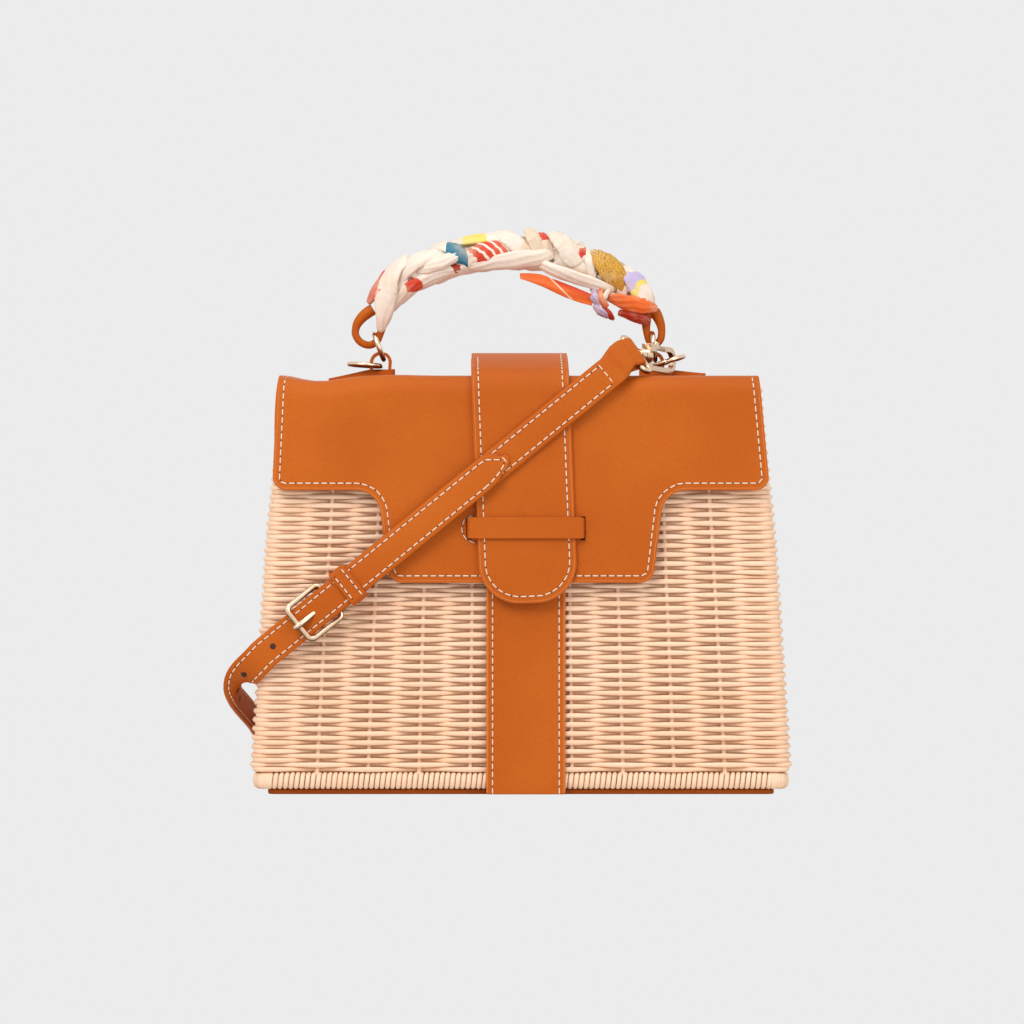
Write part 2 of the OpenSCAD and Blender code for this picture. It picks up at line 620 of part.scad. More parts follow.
buckle_tip = asin((bar_lift - buckle_lift) / buckle_l);
module buckle_frame() {
  color(gold) on_strap(buckle_s, buckle_lift) rotate([0, -buckle_tip, 0])
    wire_loop(buckle_l, strap_w + 1.6 + frame_d, 2.6, frame_d);
}

// eye on the buckle bar and a straight point that lies on the far bar
module buckle_prong() {
  reach = buckle_l + 1;
  tip = asin((bar_lift + frame_d / 2 + prong_d / 2 + 0.6 - buckle_lift) / reach);
  color(gold) on_strap(buckle_s, buckle_lift) {
    difference() {
      rotate([90, 0, 0]) cylinder(d = frame_d + 2.6, h = 2.4, center = true);
      rotate([90, 0, 0]) cylinder(d = frame_d + 0.6, h = 4, center = true);
    }
    rotate([0, -tip, 0]) rod(prong_d, frame_d / 2 + 0.7, reach);
  }
}

// swivel snap hook along X: eye bar at the origin, load point at hook_l
eye_l = 7.8;
neck_x = eye_l + frame_d / 2 + 1.4;
claw_x = 15.5;
mouth_x = 20;
mouth_end = hook_l + 2.8;
mouth_h = hook_h - hook_wall;
gate_x = 19;
gate_z = hook_h - hook_wall / 2;
gate_end = hook_l - 7;
gate_pin_d = 1.8;

module hook_eye() {
  color(gold) difference() {
    union() {
      rotate([90, 0, 0]) wire_loop(eye_l, strap_w + 2.4 + frame_d, 3, frame_d);
      rod(6, eye_l - 1.6, neck_x);
    }
    rod(pin_d + 2 * run_gap, 0, neck_x + 5);
  }
}

module hook_body() {
  color(gold) difference() {
    union() {
      rod(5, eye_l - 3.2, eye_l - 1.9);
      rod(pin_d, eye_l - 2.4, neck_x + 2);
      rod(6.4, neck_x + 0.3, claw_x + 1);
      along_y(-hook_t / 2, hook_t / 2) difference() {
        union() {
          translate([claw_x, -hook_h]) square([mouth_end - mouth_h - claw_x, 2 * hook_h]);
          translate([mouth_end - mouth_h, 0]) circle(hook_h);
        }
        translate([mouth_x, -mouth_h]) square([mouth_end - mouth_h - mouth_x, 2 * mouth_h]);
        translate([mouth_end - mouth_h, 0]) circle(mouth_h);
        translate([mouth_x, 0]) square([gate_end - mouth_x, 2 * hook_h]);
      }
      translate([claw_x, -2.6, hook_h - 3.6]) cube([mouth_x + 1 - claw_x, 5.2, 3.6]);
    }
    translate([claw_x + 1, -1.4, hook_h - 4]) cube([6, 2.8, 6]);
  }
  color(gold) translate([gate_x, 0, gate_z]) rotate([90, 0, 0]) cylinder(d = gate_pin_d, h = 5, center = true);
}

module hook_gate() {
  color(gold) translate([gate_x, 0, gate_z]) rotate([90, 0, 0]) difference() {
    union() {
      cylinder(r = 1.8, h = 2.4, center = true);
      translate([0, -1, -1.2]) cube([gate_end - gate_x - 0.3, 2, 2.4]);
      translate([5, 0, -1.2]) cube([2.6, 2.6, 2.4]);
    }
    cylinder(r = gate_pin_d / 2 + run_gap, h = 5, center = true);
  }
}

module hook_eye_right() placed(hook_bar, hook_axis, eye_across) hook_eye();
module hook_body_right() placed(hook_bar, hook_axis, side_up) hook_body();
module hook_gate_right() placed(hook_bar, hook_axis, side_up) hook_gate();
module hook_eye_far() translate(far_bar) hook_eye();
module hook_body_far() translate(far_bar) hook_body();
module hook_gate_far() translate(far_bar) hook_gate();

basket_body();
basket_floor();
foot_border();
rim_border();
base_panel();
front_strip();
flap();
closure_strap();
closure_keeper();
ring_tab_left();
ring_tab_right();
handle_ring_left();
handle_ring_right();
strap_ring_left();
strap_ring_right();
handle_core();
handle_scarf();
strap_short();
strap_long();
strap_keeper();
buckle_frame();
buckle_prong();
hook_eye_right();
hook_body_right();
hook_gate_right();
hook_eye_far();
hook_body_far();
hook_gate_far();
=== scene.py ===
# %% [markdown]
# # A woven box bag
# The bag is a tapered basket of round reed with a leather flap, a tongue that tucks under a keeper, a top
# handle wound with a silk scarf and a clip on shoulder strap. The construction model gives every size and
# every moving piece. This lesson dresses it: reed by reed weave, soft leather, thread, gold and silk.

# %% Load the frame
import math
import random

import bmesh
import bpy
from mathutils import Matrix, Vector, noise


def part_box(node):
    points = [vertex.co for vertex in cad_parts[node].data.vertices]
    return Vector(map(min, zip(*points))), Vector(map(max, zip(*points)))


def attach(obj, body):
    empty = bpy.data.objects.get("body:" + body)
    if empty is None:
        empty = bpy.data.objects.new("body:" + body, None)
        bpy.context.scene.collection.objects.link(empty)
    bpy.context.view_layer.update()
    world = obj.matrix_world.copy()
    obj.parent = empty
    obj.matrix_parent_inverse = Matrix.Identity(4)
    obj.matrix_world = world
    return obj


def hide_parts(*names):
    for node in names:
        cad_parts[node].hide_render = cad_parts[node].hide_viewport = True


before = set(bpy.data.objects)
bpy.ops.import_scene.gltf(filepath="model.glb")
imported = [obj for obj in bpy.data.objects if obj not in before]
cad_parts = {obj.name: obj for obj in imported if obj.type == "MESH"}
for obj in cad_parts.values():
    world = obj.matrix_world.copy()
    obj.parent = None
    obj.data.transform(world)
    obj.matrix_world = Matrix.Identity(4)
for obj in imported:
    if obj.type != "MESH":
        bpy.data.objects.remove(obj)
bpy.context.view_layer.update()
MM = 0.001

# %% [markdown]
# ## Sizes of the wall
# All lengths here are in millimetres. The wall is widest at the ground and leans in by its taper over its
# height. The rows of the weave start above the foot and end below the rim.

# %% Sizes of the wall
FOOT_HALF_W, FOOT_HALF_D = 126.5, 58
SIDE_TAPER, FRONT_TAPER, WALL_H = 12, 13, 194
WEAVE_LOW, WEAVE_H, ROWS = 10.8, 180.2, 86
ROW = WEAVE_H / ROWS * MM


def half_w(z):
    return FOOT_HALF_W - z * SIDE_TAPER / WALL_H


def half_d(z):
    return FOOT_HALF_D - z * FRONT_TAPER / WALL_H


LEAN = math.atan(FRONT_TAPER / WALL_H)
print("front leans", round(math.degrees(LEAN), 2), "degrees,", ROWS, "rows of", round(ROW / MM, 2), "mm")

# %% [markdown]
# ## Camera
# The bag is seen square from the front through a long lens, at the height of its middle, so the walls stay
# straight and the top is not seen. A 150 mm lens two metres away gives the same flat look.

# %% Camera
scene = bpy.context.scene
camera = bpy.data.objects.new("camera", bpy.data.cameras.new("camera"))
scene.collection.objects.link(camera)
camera.data.sensor_width = 36
camera.data.lens = 150
camera.location = Vector((-4.2, -2055, 132.5)) * MM
camera.rotation_euler = (math.radians(90), 0, 0)
camera.data.clip_end = 50
scene.camera = camera
scene.view_settings.view_transform = "Standard"
print("camera at", [round(v, 3) for v in camera.location])

# %% [markdown]
# ## Shader sums
# Materials are sums and products of patterns. This small class wraps a node's output, so that the sums are
# written as plain Python and each operator adds one Math node. Every other node comes from one method.

# %% Shader sums
class Wire:
    def __init__(self, socket):
        self.socket = socket

    def node(self, kind, settings=None, inputs=None, out=0):
        tree = self.socket.id_data
        node = tree.nodes.new("ShaderNode" + kind)
        for key, value in (settings or {}).items():
            if key == "stops":
                ramp = node.color_ramp
                while len(ramp.elements) < len(value):
                    ramp.elements.new(0.5)
                for element, (place, colour) in zip(ramp.elements, value):
                    element.position = place
                    element.color = (*colour, 1)
            else:
                setattr(node, key, value)
        for key, value in (inputs or {}).items():
            if isinstance(value, Wire):
                tree.links.new(value.socket, node.inputs[key])
            else:
                node.inputs[key].default_value = value
        return Wire(node.outputs[out])

    def sum(self, operation, a, b, clamp=False):
        return self.node("Math", {"operation": operation, "use_clamp": clamp}, {0: a, 1: b})

    def __add__(self, other):
        return self.sum("ADD", self, other)

    def __sub__(self, other):
        return self.sum("SUBTRACT", self, other)

    def __rsub__(self, other):
        return self.sum("SUBTRACT", other, self)

    def __mul__(self, other):
        return self.sum("MULTIPLY", self, other)

    def __truediv__(self, other):
        return self.sum("DIVIDE", self, other)

    def __gt__(self, other):
        return self.sum("GREATER_THAN", self, other)

    def __lt__(self, other):
        return self.sum("LESS_THAN", self, other)

    __radd__ = __add__
    __rmul__ = __mul__

    def floor(self):
        return self.sum("FLOOR", self, 0)

    def between(self, low, high):
        return self.node("MapRange", {"interpolation_type": "SMOOTHSTEP"}, {0: self, 1: low, 2: high})

    def mix(self, a, b):
        a, b = ((*c, 1) if isinstance(c, tuple) and len(c) == 3 else c for c in (a, b))
        return self.node("Mix", {"data_type": "RGBA"}, {0: self, 6: a, 7: b}, 2)

    def stretched(self, x, y, z):
        return self.node("Mapping", None, {0: self, 3: (x, y, z)})

    def axis(self, k):
        return self.node("SeparateXYZ", None, {0: self}, k)

    def noise(self, scale, detail=2.0):
        return self.node("TexNoise", None, {"Vector": self, "Scale": scale, "Detail": detail})


def linear(r, g, b):
    return tuple((c / 255 / 12.92) if c <= 10 else ((c / 255 + 0.055) / 1.055) ** 2.4 for c in (r, g, b))


def finish(name, **constants):
    material = bpy.data.materials.new(name)
    material.use_nodes = True
    shader = material.node_tree.nodes["Principled BSDF"]
    for key, value in constants.items():
        shader.inputs[key.replace("_", " ").title().replace("Ior", "IOR")].default_value = value
    places = material.node_tree.nodes.new("ShaderNodeTexCoord")
    return material, shader, Wire(places.outputs["Object"]), Wire(places.outputs["UV"])


def feed(shader, **wires):
    for key, wire in wires.items():
        shader.id_data.links.new(wire.socket, shader.inputs[key.replace("_", " ").title()])


def bump(height, strength, distance):
    return height.node("Bump", None, {"Strength": strength, "Distance": distance, "Height": height})


print("shader sums ready")

# %% [markdown]
# ## Leather, thread, gold and reed
# The leather is a smooth tan hide: a warm base, slow clouding, and a very fine pebble that only breaks up
# the gloss. The fittings are pale polished gold, with painted light where they face up and painted shade
# where they face down. The reed is pale, a little different from row to row, and painted browner as shade
# deep in the wall.

# %% Leather and thread
leather, shader, place, uv = finish("tan_leather", specular_ior_level=0.12)
cloud = place.noise(14, 3)
pores = place.noise(1500, 2)
pebble = place.node("TexVoronoi", {"feature": "SMOOTH_F1"},
                    {"Vector": place, "Scale": 900, "Smoothness": 0.6})
tone = cloud.between(0.3, 0.7).mix(linear(186, 89, 20), linear(198, 100, 27))
feed(shader, base_color=(pores.between(0.35, 0.75) * 0.35).mix(tone, linear(168, 74, 15)),
     roughness=0.4 + 0.1 * cloud + 0.06 * pores,
     normal=bump(pebble + 0.4 * pores, 0.12, 0.0004))
rim_leather, shader, place, uv = finish("leather_edge", roughness=0.5, specular_ior_level=0.3)
fibres = place.noise(700, 3)
feed(shader, base_color=fibres.mix(linear(196, 98, 34), linear(222, 128, 60)),
     normal=bump(fibres, 0.2, 0.0003))
thread, shader, place, uv = finish("waxed_thread", roughness=0.7)
ply = place.noise(2400, 1)
feed(shader, base_color=ply.mix(linear(226, 202, 172), linear(246, 232, 212)),
     normal=bump(ply, 0.3, 0.0002))
# Painted shade: this dark brown stands for the shade inside needle holes and punched holes.
shadow_hole, shader, place, uv = finish("painted_hole_shade", roughness=0.8)
feed(shader, base_color=place.noise(900).mix(linear(48, 24, 12), linear(70, 36, 18)))
print("leather and thread ready")

# %% Gold and reed
gold, shader, place, uv = finish("pale_gold", metallic=1.0, specular_ior_level=0.5)
rub = place.noise(600, 3)
facing = Wire(place.socket.node.outputs["Normal"])
# Painted light and shade: faces turned up and to the front get the pale gold, faces turned down a painted
# dark shade.
painted_light_by_facing = facing.axis(2) - 0.35 * facing.axis(1)
feed(shader, base_color=painted_light_by_facing.between(-0.5, 0.45).mix(linear(112, 78, 58), linear(244, 214, 182)),
     roughness=0.14 + 0.12 * rub)
reed, shader, place, uv = finish("pale_reed", specular_ior_level=0.3)
px, py, pz = (place.axis(k) for k in range(3))
row = (pz / ROW - WEAVE_LOW * MM / ROW).floor()
row_tint = row.node("TexWhiteNoise", {"noise_dimensions": "1D"}, {"W": row})
along = place.stretched(1, 1, 6).noise(38, 2)
fibre = place.stretched(0.25, 0.25, 3.2).noise(1300, 2)
base = (0.55 * row_tint + 0.6 * along - 0.1).mix(linear(254, 222, 192), linear(249, 203, 165))
base = (fibre.between(0.5, 0.8) * 0.4).mix(base, linear(236, 188, 146))
SIDE_BULGE = 1.5
# Painted shade: the reed turns browner with its depth below the outer face of the wall, where the weave lies
# in shadow.
in_front = FOOT_HALF_D * MM - pz * (FRONT_TAPER / WALL_H) - py.sum("ABSOLUTE", py, 0)
in_side = (FOOT_HALF_W + SIDE_BULGE) * MM - pz * (SIDE_TAPER / WALL_H) - px.sum("ABSOLUTE", px, 0)
painted_recess_shade = in_front.sum("MINIMUM", in_front, in_side).between(2.2 * MM, 5.5 * MM)
feed(shader, base_color=(0.45 * painted_recess_shade).mix(base, linear(212, 142, 84)),
     roughness=0.48 + 0.15 * fibre, normal=bump(fibre, 0.2, 0.0003))
print("finishes", [m.name for m in bpy.data.materials])

# %% [markdown]
# ## Pieces
# Each new piece is put at the origin with its place in its mesh, gets its finish, rides on the body that
# carries it and stands for the solid that it replaces.

# %% Piece helpers
def piece(name, data, finish_, body="bag", stands_for=()):
    thing = bpy.data.objects.new(name, data)
    scene.collection.objects.link(thing)
    if not data.materials:
        data.materials.append(finish_)
    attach(thing, body)
    if stands_for:
        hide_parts(*stands_for)
    return thing


def meshed(name, bm, smooth=True):
    for face in bm.faces:
        face.smooth = smooth
    mesh = bpy.data.meshes.new(name)
    bm.to_mesh(mesh)
    bm.free()
    return mesh


def tubes(name, lines, radius, sides=6, cyclic=False):
    curve = bpy.data.curves.new(name, "CURVE")
    curve.dimensions = "3D"
    curve.bevel_depth = radius * MM
    curve.bevel_resolution = sides // 2 - 2
    curve.use_fill_caps = not cyclic
    for line in lines:
        spline = curve.splines.new("POLY")
        spline.points.add(len(line) - 1)
        for point, (p, size) in zip(spline.points, line):
            point.co = (*(p * MM), 1)
            point.radius = size
        spline.use_cyclic_u = cyclic
    holder = bpy.data.objects.new(name, curve)
    scene.collection.objects.link(holder)
    bpy.context.view_layer.update()
    mesh = bpy.data.meshes.new_from_object(holder.evaluated_get(bpy.context.evaluated_depsgraph_get()))
    bpy.data.objects.remove(holder)
    bpy.data.curves.remove(curve)
    for face in mesh.polygons:
        face.use_smooth = True
    return mesh


def lerp(a, b, t):
    return a + (b - a) * t


def clamp(v):
    return max(0, min(1, v))


def hump(v, mid, width):
    return math.exp(-((v - mid) / width) ** 2)


# The hide sinks a little between the left corner and the left tab
SAG, SAG_X, SAG_WIDE = 2.6, -95, 13


def top_sag(x):
    return 0.6 * hump(x, -113, 6) - SAG * hump(x, SAG_X, SAG_WIDE) + 0.4 * hump(x, -60, 12)


print("piece helpers ready")

# %% [markdown]
# ## Shoulder strap
# The strap is a flat cord 15 mm wide: a short piece from the snap hook to the buckle and a long piece with
# the punched holes. The long one goes through the buckle, round the left side and lies folded behind the bag.
# A curve with an extrusion and a round bevel is a flat strip with soft edges, and a tilt at each point lays
# it flat on the front and stands it on edge behind. Places on the front are given by the distance down the
# strap from the hook's bar and the lift off the wall.

# %% Strap routes
SLOPE = math.radians(39.2)
HOOK_X, HOOK_Z = 52.5, 207
TIP_AT, BUCKLE_AT = 75.9, 182.9
HALF_STRAP = 7.5


def strap_at(s, lift):
    z = HOOK_Z - s * math.sin(SLOPE)
    return Vector((HOOK_X - s * math.cos(SLOPE), -half_d(z) - lift, z))


def across(v, axis):
    return (v - v.dot(axis) * axis).normalized()


strap_dir = (strap_at(1, 0) - strap_at(0, 0)).normalized()
front_out = Vector((0, -math.cos(LEAN), math.sin(LEAN)))
strap_across = front_out.cross(strap_dir)
hook_bar = Vector((HOOK_X, -43.2, HOOK_Z))
hook_axis = Vector((0.4622, 0.8855, -0.0479)).normalized()
eye_across = across(strap_across, hook_axis)
fold_dir = across(Vector((0, 0.95, 0)) - strap_dir, eye_across)
fold_out = fold_dir.cross(eye_across)
# Lift of the short piece's front layer, step from layer to layer, and radius of a fold
LIFT, LAYER, FOLD = 10.05, 2.15, 2.55
# The strap dips towards the wall on its way to the buckle
DIP = ((105, 0), (130, -0.8), (150, -1.6), (165, -2.1))


def bend(mid, a, b, start, end, n=6):
    turns = [math.radians(lerp(start, end, i / n)) for i in range(n + 1)]
    return [mid + FOLD * (math.cos(q) * a + math.sin(q) * b) for q in turns]


def arc(x, y, r, start, end, n=8):
    turns = [math.radians(lerp(start, end, i / n)) for i in range(n + 1)]
    return [Vector((x + r * math.cos(q), y + r * math.sin(q))) for q in turns]


short_route = [strap_at(s, LIFT - LAYER) for s in (26, 18, 13)]
short_route += [hook_bar - FOLD * fold_out - d * fold_dir for d in (6, 3)]
short_route += bend(hook_bar, fold_dir, fold_out, -90, 90)
short_route += [hook_bar + FOLD * fold_out - d * fold_dir for d in (2, 4)]
short_route += [strap_at(s, LIFT + d) for s, d in ((11, -0.2), (18, 0), (40, 0), (70, 0)) + DIP]
short_route += bend(strap_at(BUCKLE_AT, 5.2), strap_dir, front_out, 90, -90)
short_route += [strap_at(177, 3.4), strap_at(170, 5.2), strap_at(163, 5.8)]
# How far the strip has turned from the strap's own width to the width of the hook's bar
short_turn = [0, 0, 0.2, 1, 1] + [1] * 7 + [1, 1, 0.4, 0.1] + [0] * 16
short_wide = [lerp(strap_across, eye_across, k) for k in short_turn]

UP = Vector((0, 0, 1))
# The pointed tip: distance from its end, shift of its middle, half width
TIP = ((0.1, 0.35, 0.6), (0.5, 0.3, 1.2), (2, 0.7, 2.4), (4, 0.85, 3.95), (6, 0.35, 5.25),
       (8, -0.1, 6.3), (10, -0.28, 6.98), (13, -0.15, 7.35), (17, 0, HALF_STRAP))
far_bar = Vector((22, 88.95, 10.6))
PAST_BUCKLE = ((188, 9), (195, 7.8), (202.3, 6.9), (209, 5.9), (216, 5), (223, 4.3))
BEHIND_Z = 7.8
long_route = [strap_at(TIP_AT + d, LIFT + LAYER) + mid * strap_across for d, mid, half in TIP]
long_route += [strap_at(s, LIFT + LAYER + d) for s, d in DIP + ((BUCKLE_AT, -2.35),)]
long_route += [strap_at(s, d) for s, d in PAST_BUCKLE]
front_count = len(long_route)
long_route += [Vector(p) for p in (
    (-124.6, -57, 61.6), (-129.4, -53.4, 57), (-133, -46.6, 52.6), (-134.8, -36.6, 48.6), (-135.2, -24, 45),
    (-134.8, -8, 41.5), (-133.6, 10, 38), (-132, 28, 34), (-130, 44, 29), (-126.8, 55.5, 24),
    (-118, 63.6, 18), (-105, 67.4, 13.5), (-90, 68.5, 10), (-70, 68.5, BEHIND_Z), (0, 68.5, BEHIND_Z))]
long_route += [Vector((*p, BEHIND_Z))
               for p in arc(80, 86.5, 18, -90, 90, 12) + arc(-52, 95.5, 9, 90, 270, 10)]
long_route += [Vector(p) for p in ((-20, 86.5, 8.4), (2, 86.5, 9.6), (12, 86.5, 10.6))]
long_route += bend(far_bar, Vector((1, 0, 0)), Vector((0, 1, 0)), -90, 90)
long_route += [far_bar + Vector(p) for p in ((-4, 1.6, 0), (-9, -0.1, 0), (-18, -0.1, 0))]
TURN_POINTS = 6
long_wide = [lerp(strap_across, UP, clamp((i - front_count + 1) / TURN_POINTS))
             for i in range(len(long_route))]
long_size = [half / HALF_STRAP for d, mid, half in TIP] + [1] * (len(long_route) - len(TIP))
print("strap routes of", len(short_route), "and", len(long_route), "points")


# %% Strap curves
def strap_curve(name, route, wide, size, half=6.5, round_=1.0):
    curve = bpy.data.curves.new(name, "CURVE")
    curve.dimensions = "3D"
    curve.twist_mode = "Z_UP"
    curve.extrude, curve.bevel_depth, curve.bevel_resolution = half * MM, round_ * MM, 2
    curve.use_fill_caps = True
    spline = curve.splines.new("POLY")
    spline.points.add(len(route) - 1)
    for i, point in enumerate(spline.points):
        t = (route[min(i + 1, len(route) - 1)] - route[max(i - 1, 0)]).normalized()
        upright, wanted = across(UP, t), across(wide[i], t)
        point.co = (*(route[i] * MM), 1)
        point.tilt = math.atan2(upright.cross(wanted).dot(t), upright.dot(wanted))
        point.radius = size[i]
    spline.use_smooth = True
    return curve


def length_of(route):
    return sum((b - a).length for a, b in zip(route, route[1:])) * MM


# Each stretch between two points of a route is rounded into this many parts
PARTS = 4


def smoothed(route):
    slopes = []
    for i in range(len(route)):
        a, b, c = route[max(0, i - 1)], route[i], route[min(len(route) - 1, i + 1)]
        before, after = max((b - a).length, 1e-6), max((c - b).length, 1e-6)
        slopes.append(((c - b) / after * before + (b - a) / before * after) / (before + after))
    out = []
    for i in range(len(route) - 1):
        a, b, gap = route[i], route[i + 1], (route[i + 1] - route[i]).length
        for j in range(PARTS):
            t = j / PARTS
            out.append((1 + 2 * t) * (1 - t) ** 2 * a + t * (1 - t) ** 2 * gap * slopes[i]
                       + t * t * (3 - 2 * t) * b + t * t * (t - 1) * gap * slopes[i + 1])
    return out + [route[-1]]


def spread(values):
    return [lerp(a, b, j / PARTS) for a, b in zip(values, values[1:]) for j in range(PARTS)] + [values[-1]]


short_line, long_line = smoothed(short_route), smoothed(long_route)
short_wide, long_wide = spread(short_wide), spread(long_wide)
short_curve = strap_curve("shoulder_strap_short", short_line, short_wide, [1] * len(short_line))
long_curve = strap_curve("shoulder_strap_long", long_line, long_wide, spread(long_size))
strap_short = piece("shoulder_strap_short", short_curve, leather, stands_for=["strap_short"])
strap_long = piece("shoulder_strap_long", long_curve, leather, stands_for=["strap_long"])
print("strap lengths", round(length_of(short_line), 3), round(length_of(long_line), 3))

# %% [markdown]
# ## Woven wall
# Each row is one reed that goes over and under the upright stakes, and the next row does the opposite. The
# reed is a round tube along a ring with a wave in it. The wave is the look of the weave, so it is real shape
# here and not a bump. At the corners the wave is flatter, so that every row reaches the edge. Two pieces of
# rows keep each one light. A place on the ring is counted in stakes: each side has its own run of them and
# each corner takes one step.

# %% Woven rows
rng = random.Random(7)
CORNER_R = 8.5
SIDES = ((0, 10), (11, 15), (16, 26), (27, 31))
STAKES = 32
STEPS = 8
REED_R, STAKE_R = 1.11, 1.2
# The short sides stand out by this much, and ease back to the wall below the flap
GROW, GROW_END, GROW_EASE = 2.2, 178, 60


def on_wall(t, z, depth, grow=GROW):
    w, d, t = half_w(z) + grow * clamp((GROW_END - z) / GROW_EASE), half_d(z), t % STAKES
    mids = [Vector((x * (w - CORNER_R), y * (d - CORNER_R))) for x, y in ((-1, -1), (1, -1), (1, 1), (-1, 1))]
    for k, (start, end) in enumerate(SIDES):
        turn = math.radians(90 * k - 90)
        out = Vector((math.cos(turn), math.sin(turn)))
        if start <= t <= end:
            p = mids[k].lerp(mids[(k + 1) % 4], (t - start) / (end - start))
            break
        if end < t < end + 1:
            turn += math.radians(90) * (t - end)
            out = Vector((math.cos(turn), math.sin(turn)))
            p = mids[(k + 1) % 4]
            break
    p = p + (CORNER_R - depth) * out
    return Vector((p.x, p.y, z))


def reed_row(row):
    line = []
    thick = rng.uniform(0.97, 1.05)
    drift = rng.uniform(0, 100)
    for k in range(STAKES * STEPS):
        t = k / STEPS
        wave = math.cos(math.pi * (t + row))
        wave = math.copysign(abs(wave) ** 0.85, wave)
        corner = max(hump((t - end - 0.5 + 16) % STAKES, 16, 0.75) for start, end in SIDES)
        z = WEAVE_LOW + (row + 0.5) * ROW / MM + 0.16 * noise.noise(Vector((t * 1.3, drift, 0)))
        wave = (1 - 0.85 * corner) * wave + 0.6 * corner
        swell = 1 + 0.24 * wave * wave
        depth = 1.3 + 1.75 * (1 - wave) + 0.15 * noise.noise(Vector((t * 0.9, drift, 5)))
        uneven = 1 + 0.04 * noise.noise(Vector((t * 2, drift, 9)))
        line.append((on_wall(t, z, depth), thick * swell * uneven))
    return line


for name, rows, gone in (("reed_weave_low", range(0, ROWS // 2), ["basket_body"]),
                         ("reed_weave_high", range(ROWS // 2, ROWS), [])):
    mesh = tubes(name, [reed_row(r) for r in rows], REED_R, 6, True)
    piece(name, mesh, reed, stands_for=gone)
    print(name, len(mesh.polygons) * 2, "triangles")

corner_stakes = {t for ends in SIDES for t in ends}
stakes = [[(on_wall(t, z, 4.4 if t in corner_stakes else 3.2), 1) for z in (9, 70, 130, 192.4)]
          for t in range(STAKES)]
piece("reed_stakes", tubes("reed_stakes", stakes, STAKE_R, 6), reed)

# %% [markdown]
# ## Borders
# The foot and the rim are bound with reed, one wrap beside the next, so both are one long coil round a core.
# At the corners the wraps lie so close that the foot looks plain there. The rim follows the sag of the flap.

# %% Wrapped borders
WRAP_STEPS = 10


def bulge(v):
    return math.copysign(abs(v) ** 0.6, v)


def wrapped(name, z, low_out, high_out, half_h, pitch, radius, sag=0):
    mid, half = (low_out + high_out) / 2, (high_out - low_out) / 2 - radius
    rise = half_h - radius
    count = int(4 * (half_w(z) + half_d(z)) / pitch)
    line = []
    for k in range(count * WRAP_STEPS):
        turn = 2 * math.pi * k / WRAP_STEPS
        p = on_wall(STAKES * k / (count * WRAP_STEPS), z, -mid - half * bulge(math.cos(turn)), 0)
        p.z = z + rise * bulge(math.sin(turn)) + sag * min(0, top_sag(p.x))
        line.append((p, 1))
    return tubes(name, [line], radius, 6, True)


low, high = (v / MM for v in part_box("foot_border"))
foot_mid = (low.z + high.z) / 2
foot_out = high.x - half_w(foot_mid)
foot_mesh = wrapped("foot_wraps", foot_mid, -8.2 + foot_out, foot_out, 4.15, 2.45, 1.18)
piece("foot_wraps", foot_mesh, reed, stands_for=["foot_border"])
low, high = (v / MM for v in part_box("rim_border"))
rim_mid = (low.z + high.z) / 2
rim_mesh = wrapped("rim_wraps", rim_mid, -5.6, -1.2, 1.7, 2.3, 0.9, 1)
piece("rim_wraps", rim_mesh, reed, stands_for=["rim_border"])
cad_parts["basket_floor"].data.materials.clear()
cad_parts["basket_floor"].data.materials.append(reed)
print("borders wrapped")

# %% [markdown]
# ## Leather pieces and fittings
# The solids already have the right outline, but their edges are knife sharp. A copy of each is welded, freed
# of its tessellation and bevelled, which gives the soft cut edge of thick leather and lets round wire shade
# smoothly. The ring tabs get a little more room at their hole, a leaf that thins out, and the flap's sag.

# %% Softened copies
def softened(node, edge, segments=3, angle=40):
    bm = bmesh.new()
    bm.from_mesh(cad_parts[node].data)
    bmesh.ops.remove_doubles(bm, verts=bm.verts, dist=3e-6)
    if edge:
        bmesh.ops.dissolve_limit(bm, angle_limit=math.radians(0.6), verts=bm.verts, edges=bm.edges)
        sharp = [e for e in bm.edges
                 if len(e.link_faces) == 2 and e.calc_face_angle() > math.radians(angle)]
        bmesh.ops.bevel(bm, geom=sharp, offset=edge * MM, offset_type="OFFSET", affect="EDGES",
                        segments=segments, profile=0.5, material=-1, clamp_overlap=True)
        bmesh.ops.remove_doubles(bm, verts=bm.verts, dist=3e-6)
    return bm


TAB_HOLE, TAB_LEAF = 5.1, 12


def shape_tab(bm, node):
    lo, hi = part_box(node)
    left = "left" in node
    root = hi.x if left else lo.x
    hole = Vector((root + (-TAB_HOLE if left else TAB_HOLE) * MM, 0, hi.z - TAB_HOLE * MM))
    for v in bm.verts:
        around = Vector((v.co.x - hole.x, 0, v.co.z - hole.z))
        if around.length < 4.4 * MM:
            v.co += 0.3 * MM * around.normalized()
        away = max(0, abs(v.co.x - root) / MM - TAB_LEAF) / (2 * TAB_LEAF)
        v.co.z = lerp(v.co.z, lo.z, 0.6 * min(1, away * 1.6))
        if left:
            v.co.z -= SAG * MM * hump(v.co.x / MM, SAG_X, SAG_WIDE)


def dressed(node, finish_, edge=0.0, body="bag"):
    bm = softened(node, edge)
    if "ring_tab" in node:
        shape_tab(bm, node)
    mesh = meshed(node + "_soft", bm)
    thing = piece(node + "_soft", mesh, finish_, body, [node])
    if edge:
        thing.modifiers.new("even_shade", "WEIGHTED_NORMAL").keep_sharp = True
    else:
        mesh.set_sharp_from_angle(angle=math.radians(45))
    return thing


for node, edge in (("base_panel", 0.7), ("front_strip", 0.6), ("ring_tab_left", 0.45),
                   ("ring_tab_right", 0.45), ("strap_keeper", 0.5)):
    dressed(node, leather, edge)
print("leather pieces softened")

# %% [markdown]
# ## Handle loops, rings, hooks and buckle
# The handle's leather ends in a loop at each side, drawn as a strap seen on edge that is fatter where its two
# ends meet. The metal is the solids themselves with smooth shading.

